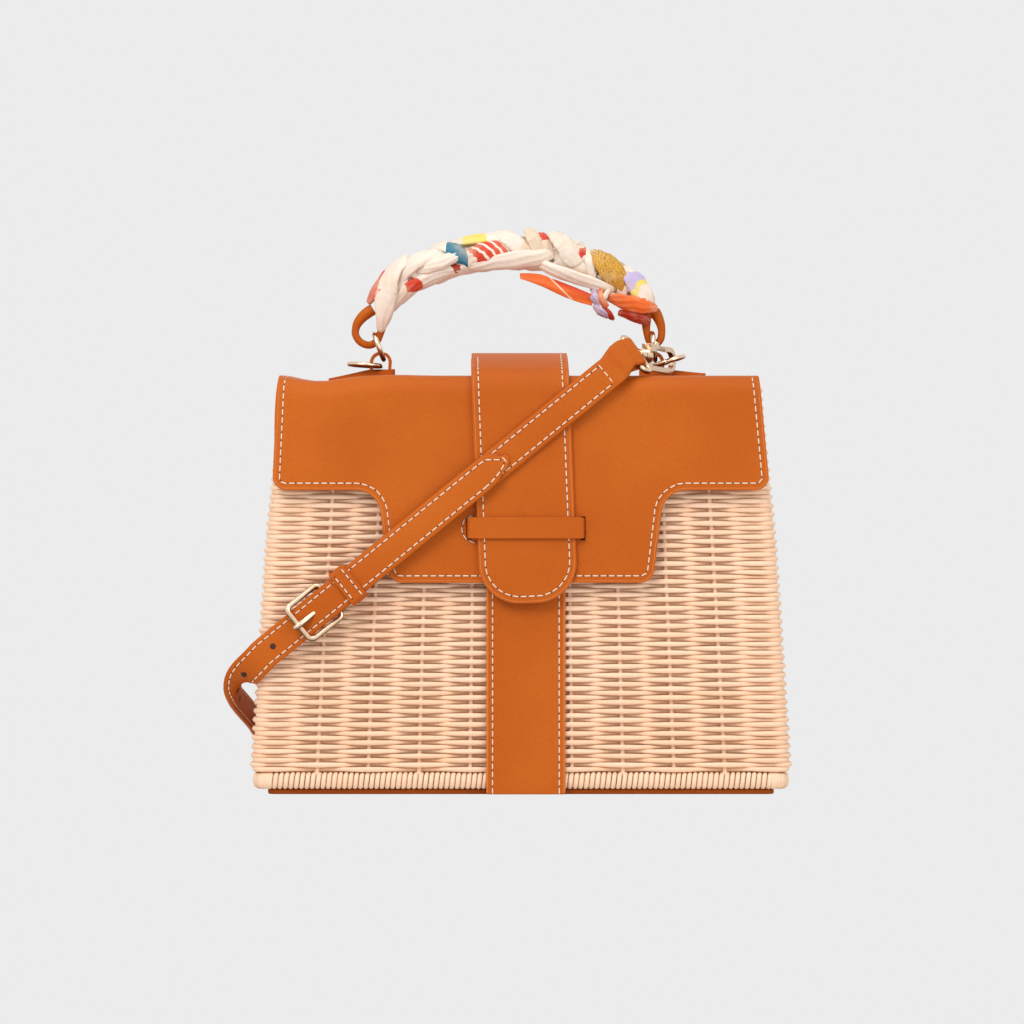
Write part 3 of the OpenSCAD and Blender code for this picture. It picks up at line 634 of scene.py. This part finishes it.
# %% Loops and fittings
LOOPS = (((-65, 230.7), (-66, 224.8), (-67.7, 218.3), (-69.8, 214.2), (-72.5, 212.9), (-77, 214.2),
          (-79.6, 218.2), (-79, 222.4), (-75.8, 226.8), (-71, 230.2)),
         ((60.8, 230.1), (60.4, 224.8), (60.9, 218.3), (62.6, 214.2), (64.7, 213.4), (66.9, 214.9),
          (67.9, 219.4), (66.7, 224.8), (64.3, 229.3)))
for name, loop, gone in zip(("handle_loop_left", "handle_loop_right"), LOOPS, (["handle_core"], [])):
    line = smoothed([Vector((x, 0, z)) for x, z in loop])
    fat = [1 + 0.55 * clamp((p.z - 220) / 8) for p in line]
    curve = strap_curve(name, line, [Vector((0, 1, 0))] * len(line), fat, 1.0, 1.75)
    piece(name, curve, leather, "handle", gone)
for node, body in (("handle_ring_left", "handle"), ("handle_ring_right", "handle"),
                   ("strap_ring_left", "ring_left"), ("strap_ring_right", "bag"), ("buckle_frame", "bag"),
                   ("hook_eye_right", "bag"), ("hook_eye_far", "bag"), ("hook_body_right", "hook_right"),
                   ("hook_gate_right", "gate_right"), ("hook_body_far", "hook_far"),
                   ("hook_gate_far", "gate_far")):
    dressed(node, gold, 0.35 if "hook_body" in node else 0.0, body)
# The prong: distance down the strap, lift, share of its full radius
PRONG = ((188.5, 6.6, 0.8), (191.5, 7.8, 1), (194.5, 9.2, 1.2), (197.5, 10.6, 1.3), (200.3, 11.8, 1.3),
         (202.3, 12.3, 1.25), (203.8, 12.4, 1.05), (204.4, 12.4, 0.5))
prong_mesh = tubes("buckle_prong_soft", [[(strap_at(q, lift), size) for q, lift, size in PRONG]], 1.1, 12)
piece("buckle_prong_soft", prong_mesh, gold, stands_for=["buckle_prong"])

# %% [markdown]
# ## Flap and tongue
# Both are one hide laid over the box. The copies are cut by a grid of planes, so that there are points to
# bend. Slow waves, a sag, a fold beside the tongue and loose lower corners then take the flatness out of the
# flap. The keeper only sinks into its slots at its ends.

# %% Flap and closure strap
def hide(node, step, swell):
    bm = softened(node, 0.7)
    lo, hi = (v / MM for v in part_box(node))
    for axis in (0, 2):
        n = int((hi[axis] - lo[axis]) / step)
        for i in range(1, n):
            at = [0, 0, 0]
            at[axis] = lerp(lo[axis], hi[axis], i / n) * MM
            way = [0, 0, 0]
            way[axis] = 1
            everything = bm.verts[:] + bm.edges[:] + bm.faces[:]
            bmesh.ops.bisect_plane(bm, geom=everything, dist=1e-7, plane_co=at, plane_no=way)
    for v in bm.verts:
        v.co += swell(v.co / MM) * MM
    thing = piece(node + "_soft", meshed(node + "_soft", bm), leather, "bag", [node])
    thing.modifiers.new("even_shade", "WEIGHTED_NORMAL").keep_sharp = True
    return thing


# How far the flap spills over the left end, at which height and how far from there
SPILL, SPILL_Z, SPILL_HIGH = 2.3, 186, 24


def flap_swell(p):
    sag = clamp((p.z - 160) / 32) * top_sag(p.x)
    if p.y > -20:
        return Vector((0, 0, sag))
    wave = noise.noise(Vector((p.x * 0.021, 3.7, p.z * 0.028)))
    lobes = max(0, 1 - abs(abs(p.x) - 116) / 14) * clamp((175 - p.z) / 25)
    fold = 1.4 * hump(p.x, 32, 5) * hump(p.z, 128, 22) - 0.9 * hump(p.x, 41, 7) * hump(p.z, 122, 20)
    spill = -SPILL * clamp((-p.x - 88) / 22) * hump(p.z, SPILL_Z, SPILL_HIGH)
    return Vector((spill, -0.4 * wave * clamp((190 - p.z) / 20) - 0.5 * lobes - fold, sag))


flap = hide("flap", 6, flap_swell)
tongue = hide("closure_strap", 5, lambda p: Vector((0, 0, 0)))
keeper_low, keeper_high = (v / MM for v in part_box("closure_keeper"))
keeper_mid, keeper_half = (keeper_low + keeper_high) / 2, (keeper_high - keeper_low) / 2
KEEPER_END = 4


def keeper_round(p):
    end = max(0, abs(p.x - keeper_mid.x) - keeper_half.x + KEEPER_END) / KEEPER_END
    return Vector((0, 0.4 * end ** 3, -0.07 * end ** 3 * (p.z - keeper_mid.z)))


hide("closure_keeper", 1.3, keeper_round)
print("flap", len(flap.data.polygons), "faces")

# %% [markdown]
# ## Stitching
# A lockstitch shows as short rounded dashes that dip into the leather at both ends. Each dash is a small
# stretched ball half sunk into the leather, and a flat ball between two dashes, painted dark as shade, stands
# for the needle's hole.
# Lines on the front are drawn flat, in width and height, and dropped onto the leather from the front.

# %% Stitch lines
def ball(segments, rings):
    bm = bmesh.new()
    lying = Matrix.Rotation(math.radians(90), 4, "Y")
    bmesh.ops.create_uvsphere(bm, u_segments=segments, v_segments=rings, radius=1, matrix=lying)
    bm.verts.index_update()
    shape = [v.co.copy() for v in bm.verts], [[v.index for v in f.verts] for f in bm.faces]
    bm.free()
    return shape


BALLS = ball(6, 6), ball(6, 4)


def stitches(name, lines, pitch=3.8, long=3.3, thick=0.62):
    bm = bmesh.new()
    count = 0
    for line, outs in lines:
        gone, target = 0.0, pitch / 4
        for (a, na), (b, nb) in zip(zip(line, outs), zip(line[1:], outs[1:])):
            step = (b - a).length
            while step and target <= gone + step:
                t = (target - gone) / step
                way, out = (b - a).normalized(), na.lerp(nb, t).normalized()
                side = out.cross(way).normalized()
                # Every second ball is a needle hole, given the dark finish as painted shade.
                hole = count % 2
                size = (0.3, 0.42, 0.16) if hole else (long / 2, thick / 2, thick / 2)
                spot = a.lerp(b, t) + 0.06 * out
                points, faces = BALLS[hole]
                axes = [length * axis for length, axis in zip(size, (way, side, out))]
                made = [bm.verts.new((spot + p.x * axes[0] + p.y * axes[1] + p.z * axes[2]) * MM)
                        for p in points]
                for face in faces:
                    bm.faces.new([made[i] for i in face]).material_index = hole
                target += pitch / 2
                count += 1
            gone += step
    bmesh.ops.recalc_face_normals(bm, faces=bm.faces)
    print(name, count // 2, "stitches")
    mesh = meshed(name, bm)
    mesh.materials.append(thread)
    mesh.materials.append(shadow_hole)
    return piece(name, mesh, thread)


def laid(thing, points, depth=0.0, step=1.5):
    bpy.context.view_layer.update()
    line, outs = [], []
    for a, b in zip(points, points[1:]):
        n = max(1, int((b - a).length / step))
        for p in (a.lerp(b, k / n) for k in range(n)):
            hit, spot, out, index = thing.ray_cast(Vector((p.x, -150, p.y)) * MM, Vector((0, 1, 0)))
            if hit and spot.y < 0:
                line.append(spot / MM - depth * out)
                outs.append(out.copy())
    return line, outs


def flap_line(inset):
    right = [Vector((x - inset, z)) for x, z in ((111.5, 200), (112.2, 192), (116, 149))]
    right += arc(110, 149, 6 - inset, 0, -90)
    right += arc(77.5, 131, 12 + inset, 90, 180) + arc(55.5, 106.6, 7 - inset, 0, -90)
    left = [Vector((-p.x - SPILL * hump(p.y, SPILL_Z, SPILL_HIGH), p.y)) for p in reversed(right)]
    return right + left


TONGUE_TILT, TONGUE_X, TONGUE_Z = math.radians(2.2), -0.8, 209


def tongue_line(inset):
    right = [Vector((22.75 - inset, z)) for z in (208.4, 200)] + arc(3.75, 109, 19 - inset, 0, -90, 12)
    right += [Vector((-p.x, p.y)) for p in reversed(right)]
    cos, sin = math.cos(TONGUE_TILT), math.sin(TONGUE_TILT)
    return [Vector((TONGUE_X + p.x * cos - (p.y - TONGUE_Z) * sin,
                    TONGUE_Z + p.x * sin + (p.y - TONGUE_Z) * cos)) for p in right]


def strip_line(side, inset):
    return [Vector((2.3 + side * (18.6 - inset), z)) for z in (1.2, 106)]


HEM = 3.0
strip = bpy.data.objects["front_strip_soft"]
stitches("flap_stitching", [laid(flap, flap_line(HEM)), laid(flap, arc(-21.4, 124.7, 6.3, 90, 270, 12))])
stitches("strip_stitching", [laid(strip, strip_line(side, HEM)) for side in (-1, 1)])
stitches("tongue_stitching", [laid(tongue, tongue_line(HEM))])

# %% [markdown]
# ## Stitching of the strap
# The strap's stitches run along both edges, round the tip and across the end that is sewn round the hook's
# bar. They follow the strap's own line and width, so they need no dropping.

# %% Strap stitches
STRAP_HEM, TIP_HEM = 5.2, 2.3


def strap_lines(route, wide, start, end):
    lines = []
    for side in (-1, 1):
        line, outs = [], []
        for i in range(start, end):
            t = (route[min(i + 1, len(route) - 1)] - route[max(i - 1, 0)]).normalized()
            w = across(wide[i], t)
            out = t.cross(w)
            line.append(route[i] + side * STRAP_HEM * w + out)
            outs.append(out)
        lines.append((line, outs))
    return lines


def strap_cross(s, lift, reach):
    return [strap_at(s, lift) + side * reach * strap_across for side in (-1, 1)], [front_out] * 2


past_tip = (len(TIP) - 1) * PARTS
tip_turn = []
for side, tip in ((1, TIP[::-1]), (-1, TIP)):
    tip_turn += [strap_at(TIP_AT + d + 0.4, LIFT + LAYER + half / HALF_STRAP)
                 + (mid + side * (half - TIP_HEM)) * strap_across
                 for d, mid, half in tip if half > TIP_HEM]
short_stitch = stitches("strap_short_stitching", [strap_cross(16, LIFT + 1, STRAP_HEM)]
                        + strap_lines(short_line, short_wide, PARTS * 15 - 1, PARTS * 23))
long_stitch = stitches("strap_long_stitching", [(tip_turn, [front_out] * len(tip_turn))]
                       + strap_lines(long_line, long_wide, past_tip, len(long_line) - PARTS * 12))
keeper_lines = [strap_cross(s, 13.15 - 0.035 * (s - 168), 7.4) for s in (169.6, 174.4)]
keeper_stitch = stitches("strap_keeper_stitching", keeper_lines, pitch=3.2, long=2.7)

# %% [markdown]
# ## Cut edges and punched holes
# The cut edges are painted and stand a little proud, so a thin round bead runs along each outline. The
# strap's holes are short plugs painted dark as the shade inside a hole, set 20 mm apart past the buckle.

# %% Edge beads and holes
def beads(name, lines, radius):
    mesh = tubes(name, [[(p, 1) for p in line] for line in lines], radius, 8)
    return piece(name, mesh, rim_leather)


beads("flap_edge", [laid(flap, flap_line(0.75), 0.95)[0]], 1.02)
beads("tongue_edge", [laid(tongue, tongue_line(0.75), 0.95)[0]], 1.02)
beads("strip_edge", [laid(strip, strip_line(side, 0.7), 0.75)[0] for side in (-1, 1)], 0.82)


def reached(line, distance):
    for i, (a, b) in enumerate(zip(line, line[1:])):
        step = (b - a).length
        if distance <= step:
            return i, a.lerp(b, distance / step), (b - a).normalized()
        distance -= step


HOLE_R, HOLE_DEPTH, FIRST_HOLE, HOLE_STEP, HOLES = 1.45, 2.08, 124.7, 20, 4
# Each hole is a dark plug: painted shade where the hole goes through the strap.
bm = bmesh.new()
for k in range(HOLES):
    i, p, t = reached(long_line[past_tip:], FIRST_HOLE + k * HOLE_STEP)
    w = across(long_wide[past_tip + i], t)
    turn = Matrix((t, w, t.cross(w))).transposed().to_4x4()
    bmesh.ops.create_cone(bm, cap_ends=True, segments=18, radius1=HOLE_R * MM, radius2=HOLE_R * MM,
                          depth=HOLE_DEPTH * MM, matrix=Matrix.Translation(p * MM) @ turn)
strap_hole_shade = piece("strap_hole_shade", meshed("strap_hole_shade", bm, False), shadow_hole)
print("edges beaded, strap punched")

# %% [markdown]
# ## Scarf
# The silk is plaited round the handle. Ribbons that cross on a thin sleeve cover it all round, and on the
# front each visible strand is a grid rolled into a soft flat tube with pleats along it. The print is laid out
# strand by strand: the first coordinate of the cloth's own map is the strand's number plus the place along
# it. The handle's line is a wide bow with a tighter shoulder at each end.

# %% Handle line
BOW_R, SHOULDER_R, HANDLE_X, HANDLE_TOP = 110, 34, -3.62, 257
BOW_A, SHOULDER_A = math.radians(25), math.radians(66)
BOW_LEN = BOW_R * BOW_A
SHOULDER_LEN = SHOULDER_R * (SHOULDER_A - BOW_A)
SCARF_LEN = BOW_LEN + SHOULDER_LEN - 2.5


def handle_at(s):
    side = math.copysign(1, s)
    if abs(s) <= BOW_LEN:
        a = s / BOW_R
        mid = Vector((HANDLE_X, 0, HANDLE_TOP - BOW_R))
        r = BOW_R
    else:
        a = side * (BOW_A + (abs(s) - BOW_LEN) / SHOULDER_R)
        reach = BOW_R - SHOULDER_R
        mid = Vector((HANDLE_X + side * reach * math.sin(BOW_A), 0,
                      HANDLE_TOP - BOW_R + reach * math.cos(BOW_A)))
        r = SHOULDER_R
    up = Vector((math.sin(a), 0, math.cos(a)))
    return mid + r * up, up


CORE = [handle_at(SCARF_LEN * k / 40)[0] for k in range(-44, 45)]
print("handle line", round(2 * SCARF_LEN), "mm")


# %% Cloth helpers
def shaped_grid(nu, nv, place, shift=0):
    bm = bmesh.new()
    uvs = bm.loops.layers.uv.new("cloth")
    bmesh.ops.create_grid(bm, x_segments=nu, y_segments=nv, size=1)
    for face in bm.faces:
        for loop in face.loops:
            loop[uvs].uv = ((loop.vert.co.x + 1) / 2 + shift, (loop.vert.co.y + 1) / 2)
    for v in bm.verts:
        v.co = place((v.co.x + 1) / 2, (v.co.y + 1) / 2) * MM
    bmesh.ops.remove_doubles(bm, verts=bm.verts, dist=1e-6)
    bmesh.ops.recalc_face_normals(bm, faces=bm.faces)
    return bm


def joined(name, parts):
    whole = bmesh.new()
    for bm in parts:
        part = bpy.data.meshes.new("part")
        bm.to_mesh(part)
        bm.free()
        whole.from_mesh(part)
        bpy.data.meshes.remove(part)
    return meshed(name, whole)


def ribbon_place(q0, turn, wide, thick, base):
    def centre(u):
        s = lerp(0.5 - SCARF_LEN, SCARF_LEN - 0.5, u)
        p, up = handle_at(s)
        q = q0 + 2 * math.pi * (s + SCARF_LEN) / turn
        n = math.cos(q) * up + math.sin(q) * Vector((0, 1, 0))
        return p + (base + 0.7 * math.sin(4 * math.pi * s / abs(turn) + math.copysign(1.57, turn))) * n, n

    def place(u, v):
        p, n = centre(u)
        t = (centre(min(1, u + 0.004))[0] - centre(max(0, u - 0.004))[0]).normalized()
        side = t.cross(n).normalized()
        f = 2 * math.pi * v
        end = min(1, 14 * min(u, 1 - u) + 0.02)
        pleat = 0.16 * math.sin(5 * f + 9 * noise.noise(Vector((u * 9, q0, 0)))) * math.cos(f * 0.5) ** 2
        swell = 1 + 0.22 * noise.noise(Vector((u * 14, q0 * 3, 1)))
        return p + end * swell * (wide / 2 * math.cos(f) * side + thick / 2 * (math.sin(f) + pleat) * n)

    return place


def strand_place(points, seed):
    line = smoothed([Vector((x, -depth, z)) for x, z, depth, wide, thick in points])
    wide, thick = (spread([p[k] for p in points]) for k in (3, 4))

    def at(values, u):
        i = min(len(values) - 2, int(u * (len(values) - 1)))
        return lerp(values[i], values[i + 1], u * (len(values) - 1) - i)

    def place(u, v):
        p = at(line, u)
        t = (at(line, min(1, u + 0.03)) - at(line, max(0, u - 0.03))).normalized()
        n = across(p - min(CORE, key=lambda c: (c - p).length_squared), t)
        side = t.cross(n)
        f = 2 * math.pi * v
        end = math.sqrt(max(0.0004, 1 - (1 - min(1, 9 * min(u, 1 - u))) ** 2))
        a = math.cos(f) + 0.35 * noise.noise(Vector((u * 3, seed, 4)))
        fold = abs(math.sin(4.2 * a + 3 * noise.noise(Vector((u * 2.6, seed, 0)))))
        pleat = (0.42 * fold - 0.3) * max(0, math.sin(f)) ** 0.7
        ruffle = 1 + 0.12 * noise.noise(Vector((u * 7, seed, math.cos(f))))
        half_wide, half_thick = 1.12 * at(wide, u) / 2, 0.9 * at(thick, u) / 2
        return p + end * (half_wide * math.cos(f) * ruffle * side + half_thick * (math.sin(f) + pleat) * n)

    return place


print("cloth helpers ready")

# %% Silk print
CREAM, SHELL, CORAL = linear(239, 222, 206), linear(230, 206, 178), linear(214, 62, 30)
FLAME, TEAL, OCHRE = linear(238, 104, 26), linear(34, 116, 140), linear(214, 158, 52)
LILAC, LEMON, WINE = linear(196, 178, 214), linear(236, 214, 96), linear(178, 44, 18)
# Where each colour starts, in strands
ZONES = ((0, CORAL), (0.55, CREAM), (2.25, CORAL), (2.4, CREAM), (2.72, WINE), (2.8, CREAM),
         (4.75, LEMON), (4.9, CREAM), (5.3, TEAL), (5.72, CREAM), (6.2, LEMON), (6.5, CREAM),
         (7.25, CORAL), (7.8, CREAM), (9.6, SHELL), (11.0, CORAL), (11.4, SHELL), (12.0, CREAM),
         (13.2, CORAL), (13.5, CREAM), (15.0, OCHRE), (16.0, CREAM), (17.1, LILAC), (17.38, LEMON),
         (17.5, CREAM), (19.0, FLAME), (20.0, WINE), (21.0, LILAC), (22.0, FLAME), (23.0, CREAM),
         (24.0, LILAC), (25.0, WINE))
TABLE = 27
SILK = {"sheen_weight": 0.08, "sheen_roughness": 0.4, "specular_ior_level": 0.4}
silk, shader, place, uv = finish("printed_silk", **SILK)
wander = place.noise(170, 0)
along_uv, across_uv = uv.axis(0), uv.axis(1)
spot = along_uv + 0.16 * wander - 0.08 + 0.14 * across_uv - 0.035
zone = spot.node("ValToRGB", {"stops": [(at / TABLE, colour) for at, colour in ZONES]}, {0: spot / TABLE})
zone.socket.node.color_ramp.interpolation = "CONSTANT"
bands = place.node("TexWave", {"bands_direction": "DIAGONAL"},
                   {"Vector": place, "Scale": 120, "Distortion": 2.4, "Detail Scale": 0.6})
striped = (spot > 7.2) * (spot < 7.85)
hatch = place.node("TexWave", {"bands_direction": "X"},
                   {"Vector": place, "Scale": 190, "Distortion": 14.0, "Detail": 3.0, "Detail Scale": 2.0})
hatched = (spot > 15) * (spot < 16) * 0.55 + (spot > 13) * (spot < 14) * 0.5
inked = (striped * bands.between(0.72, 0.78)).mix(zone, CREAM)
inked = (place.noise(90, 2).between(0.45, 0.7) * 0.4).mix(inked, linear(232, 204, 172))
inked = (hatched * hatch.between(0.78, 0.86)).mix(inked, linear(96, 60, 24))
grain = place.noise(1800, 1)
crease = place.stretched(1, 1, 0.45).noise(260, 3)
feed(shader, base_color=inked, roughness=0.38 + 0.12 * grain,
     normal=bump(0.3 * grain + crease, 0.35, 0.0009))
print("print of", len(ZONES), "zones")

# %% Scarf strands
# Points of each strand: x, z, how far in front of the handle's middle, width, thickness
STRANDS = {
    "left_back": [(-73.2, 233, 2, 3, 3), (-70.8, 236.9, 4.5, 6.5, 4), (-66.5, 243.3, 4.5, 8, 4),
        (-61.1, 250.1, 4, 8, 4), (-54.7, 255.8, 2, 6, 3)],
    "left_front": [(-67.6, 218.7, 4.5, 2, 2.5), (-65.9, 225.5, 6.5, 7, 4), (-64.8, 235.7, 7.5, 10, 4.5),
        (-63, 243.9, 7.5, 9, 4.5), (-59.1, 250, 6.5, 7, 4), (-52.5, 254.1, 4, 5, 3)],
    "left_low": [(-63.8, 227.8, 3, 4, 3), (-58.1, 235, 5, 6, 4), (-52.5, 240.6, 6, 6.5, 4.5),
        (-45, 244.2, 6.5, 6, 4.5), (-37.5, 247.2, 6.5, 5.5, 4), (-30, 249.7, 5, 4.5, 3.5),
        (-22.5, 252.5, 3, 4, 3)],
    "left_top": [(-59.5, 240.7, 4, 4, 3), (-55.9, 247.8, 6.5, 7, 4), (-49.8, 253.1, 8, 8, 4.5),
        (-43, 255.7, 7.5, 6.5, 4), (-35.9, 257.8, 5, 4, 3)],
    "leaf": [(-50.4, 248.3, 6, 1.5, 2), (-45.2, 249.5, 8.8, 5, 4), (-38.5, 252.2, 9.3, 6.2, 4.5),
        (-32.1, 254.9, 8.2, 5, 4), (-26.2, 258, 5, 2.5, 3)],
    "teal": [(-44, 258.5, 2, 4, 3), (-38, 260.1, 5, 6, 4), (-31.6, 257.9, 7.2, 7, 4),
        (-26.8, 253.9, 7.2, 6, 4), (-22, 250.5, 5, 4, 3)],
    "crest_left": [(-34.3, 261, 2, 4, 3), (-26.3, 263, 4, 6.5, 4), (-18.2, 264, 5, 7, 4),
        (-10.7, 264.6, 5, 7, 4), (-3.2, 262.7, 4, 6, 3.5)],
    "stripes": [(-28.9, 250.9, 4, 4, 3), (-23.5, 254.7, 7, 7.5, 4), (-17.1, 257.8, 8.3, 8.8, 4.5),
        (-9.4, 259.5, 7.8, 8, 4), (-1.6, 259.1, 5, 5, 3)],
    "low_mid": [(-25.7, 249.8, 4, 3.5, 3), (-18.2, 251, 6.5, 5.5, 4), (-9.6, 252.4, 8.5, 7.5, 4.5),
        (0, 253.8, 9.3, 8, 5), (8.6, 254.9, 8.8, 6.5, 4.5), (16.6, 256.9, 5.5, 4, 3)],
    "cross_a": [(-11.8, 266.7, 3, 6, 3.5), (-5.9, 264.1, 6.8, 8.5, 4.5), (-1, 260.3, 7.8, 8, 4.5),
        (4.3, 256.6, 6.5, 6, 4)],
    "cross_b": [(3.9, 268.2, 3, 5, 3), (6, 264.1, 7.3, 6.5, 4.5), (8, 259.8, 7.3, 6.5, 4),
        (10.2, 255.6, 5, 5, 3)],
    "cross_c": [(9.5, 266.3, 2, 5, 3), (11.8, 262, 5.5, 6, 4), (14.2, 257.2, 5.5, 6, 4)],
    "cross_d": [(15.6, 266.3, 3, 7, 4), (20.2, 261.9, 7.8, 9.5, 5), (23.6, 256.5, 8.3, 9, 4.5),
        (27, 251, 6.5, 6, 4)],
    "lined": [(26.7, 262.4, 3, 5, 3), (29, 257.7, 6, 6.5, 4), (30.7, 252.9, 6, 6, 4), (32.4, 249, 4, 4, 3)],
    "thin": [(31.6, 259.1, 4, 3, 3), (33.1, 252.2, 8, 4.3, 4), (34.3, 244.6, 6.5, 4.3, 4)],
    "mustard": [(35.5, 258.1, 3, 6, 3.5), (38.6, 254.4, 7, 9.5, 4.5), (42.6, 249.5, 8.3, 11, 5),
        (46.1, 243.9, 7.5, 10, 4.5), (47.5, 238.3, 4, 6, 3)],
    "low_right": [(8.1, 252.6, 6, 4, 3.5), (15, 248.8, 8.3, 6.5, 4.5), (23.6, 245.8, 8.8, 6.5, 4.5),
        (32.1, 243, 8.8, 6.5, 4.5), (39.6, 240.4, 8.3, 5.5, 4), (44.8, 238.9, 6, 2.5, 3)],
    "right_end": [(49.2, 250.2, 3, 6, 3.5), (53.4, 245.4, 6.5, 9, 4.5), (57.3, 239.4, 7.3, 9.5, 4.5),
        (60.9, 233.9, 6.8, 8, 4), (63.3, 229.4, 4, 4, 3)],
    "right_under": [(33.3, 240.7, 3, 5, 3), (41.9, 236.4, 4, 7, 4), (50.4, 232.9, 4.5, 8, 4.5),
        (59.6, 229.7, 4, 7, 4)],
    "orange": [(41.3, 235.7, 6, 3.5, 3), (47.1, 233.8, 9, 6.8, 4), (54.6, 232, 9.3, 7.2, 4.5),
        (61.3, 231.1, 7.8, 6, 4), (65.3, 230.4, 4, 2.5, 3)],
    "dark": [(46.7, 228.4, 5, 2.5, 3), (52.5, 226.8, 6.3, 4.8, 3.5), (57.9, 225.3, 6, 5.2, 3.5),
        (62.1, 223.7, 3.5, 2.5, 3)],
    "knot_a": [(36.7, 239.7, 6, 3, 2.5), (35.1, 235.5, 10, 4.6, 3.5), (37.5, 232.1, 8, 4.4, 3)],
    "knot_b": [(38.8, 239.7, 7, 3, 2.5), (38.1, 235.5, 10.6, 3.4, 3.5), (40.9, 231, 8, 4, 3)],
    "knot_c": [(42.6, 239.6, 8, 2, 2), (40.2, 235.5, 10.6, 2.4, 3), (39.2, 232.8, 8, 2.2, 2)],
    "knot_d": [(35.6, 231.5, 7, 3, 3), (38.1, 228.6, 9, 5.6, 3.5), (41.6, 226.6, 6, 3.6, 3)],
    "knot_e": [(39.5, 230.5, 6, 5, 3), (42.2, 227.2, 7, 5.6, 3.5), (44.2, 225.4, 5, 2.6, 2)],
}


def sleeve_place(u, v):
    p, up = handle_at(lerp(-SCARF_LEN, SCARF_LEN, u))
    q = 2 * math.pi * v
    r = 5.3 + 0.4 * noise.noise(Vector((u * 14, math.cos(q), math.sin(q))))
    return p + r * (math.cos(q) * up + math.sin(q) * Vector((0, 1, 0)))


wound = [shaped_grid(90, 24, sleeve_place, 18)]
wound += [shaped_grid(150, 18, ribbon_place(q0, turn, 11.5, 3.2, 5.6), 3)
          for q0, turn in ((0.4, 46), (2.2, -46), (3.5, 46), (5.3, -46))]
wound += [shaped_grid(36, 24, strand_place(points, k), k) for k, points in enumerate(STRANDS.values())]
scarf = piece("scarf_winding", joined("scarf_winding", wound), silk, "handle", ["handle_scarf"])
print("scarf", len(STRANDS), "strands,", len(scarf.data.polygons), "faces")

# %% Scarf tail
TAIL_TOP = ((-0.5, -6.2, 247.1), (9.7, -7.2, 246.6), (16.1, -8, 244.1), (24.7, -8.6, 240.7),
            (34.3, -9, 236.7))
TAIL_LOW = ((-0.2, -6.6, 244.5), (9.7, -7.8, 241), (20.4, -9.2, 235.9), (26.8, -9.6, 233.4),
            (34.3, -9.4, 231.5))
tail_top, tail_low = (smoothed([Vector(p) for p in edge]) for edge in (TAIL_TOP, TAIL_LOW))


def tail_place(u, v):
    i = min(len(tail_top) - 2, int(u * (len(tail_top) - 1)))
    t = u * (len(tail_top) - 1) - i
    a, b = (lerp(line[i], line[i + 1], t) for line in (tail_top, tail_low))
    wave = 0.7 * math.sin(5 * v + 4 * u) * min(1, 4 * u)
    return lerp(a, b, v) + Vector((0, wave, 0))


flame_silk, shader, place, uv = finish("flame_silk", **SILK)
along_uv, across_uv = uv.axis(0), uv.axis(1)
slant = along_uv - 0.25 * across_uv + 0.05 * place.noise(160)
line_mask = slant.between(0.4, 0.42) * slant.between(0.47, 0.45)
shaded = slant.between(0.45, 0.5) * across_uv.between(0.5, 0.2)
body_tone = shaded.mix(linear(236, 104, 32), linear(214, 70, 24))
feed(shader, base_color=line_mask.mix(body_tone, linear(246, 208, 176)),
     roughness=0.38 + 0.12 * place.noise(900),
     normal=bump(place.stretched(1, 1, 2).noise(200, 2), 0.3, 0.0008))
tail_mesh = meshed("scarf_tail", shaped_grid(40, 12, tail_place))
tail = piece("scarf_tail", tail_mesh, flame_silk, "handle")
thick = tail.modifiers.new("cloth", "SOLIDIFY")
thick.thickness, thick.offset = 0.5 * MM, 0
print("tail", len(tail.data.polygons), "faces")

# %% [markdown]
# ## Cord facts
# A point on the front and the length of each strap piece are worked out here.

strap_at(0, LIFT) * MM
round(length_of(short_line), 3)
strap_at(82, LIFT + LAYER) * MM
round(length_of(long_line), 3)

# %% [markdown]
# ## Light and floor
# Soft light from all round, one wide lamp high at the front left, a weaker one at the right and one above.
# The floor and the backdrop are the same pale grey, so that the bag stands in an even studio.

# %% Light and floor
world = bpy.data.worlds.new("studio")
scene.world = world
world.use_nodes = True
PALE = (*linear(236, 236, 236), 1)


def seen_in(tree):
    path = tree.nodes.new("ShaderNodeLightPath")
    direct, glossy = (Wire(path.outputs[k]) for k in ("Is Camera Ray", "Is Glossy Ray"))
    return direct.sum("MAXIMUM", direct, glossy)


back = world.node_tree.nodes["Background"]
back.inputs["Color"].default_value = PALE
world.node_tree.links.new((0.62 + 0.38 * seen_in(world.node_tree)).socket, back.inputs["Strength"])


def lamp(name, place, target, size, power):
    data = bpy.data.lights.new(name, "AREA")
    data.shape, data.size, data.energy = "DISK", size, power
    thing = bpy.data.objects.new(name, data)
    scene.collection.objects.link(thing)
    thing.location = place
    thing.rotation_euler = (Vector(target) - Vector(place)).to_track_quat("-Z", "Y").to_euler()


lamp("key", (-0.7, -1.3, 1.2), (0, 0, 0.12), 0.9, 14)
lamp("fill", (1.1, -1.2, 0.6), (0, 0, 0.12), 0.9, 5)
lamp("top", (0.1, -0.35, 1.6), (0, 0, 0.2), 1.0, 6)
bm = bmesh.new()
bmesh.ops.create_grid(bm, x_segments=1, y_segments=1, size=20)
floor_finish, shader, place, uv = finish("studio_floor", base_color=PALE, roughness=0.9,
                                         specular_ior_level=0.1)
tree = floor_finish.node_tree
seen = seen_in(tree)
glow = seen.node("Emission", None, {"Color": PALE})
blend = seen.node("MixShader", None, {0: seen, 1: Wire(shader.outputs[0]), 2: glow})
tree.links.new(blend.socket, tree.nodes["Material Output"].inputs["Surface"])
floor = bpy.data.objects.new("floor", meshed("floor", bm, False))
floor.data.materials.append(floor_finish)
scene.collection.objects.link(floor)

# %% Finish
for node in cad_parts.values():
    if not node.hide_render:
        print("solid still shown:", node.name)
bpy.context.view_layer.update()
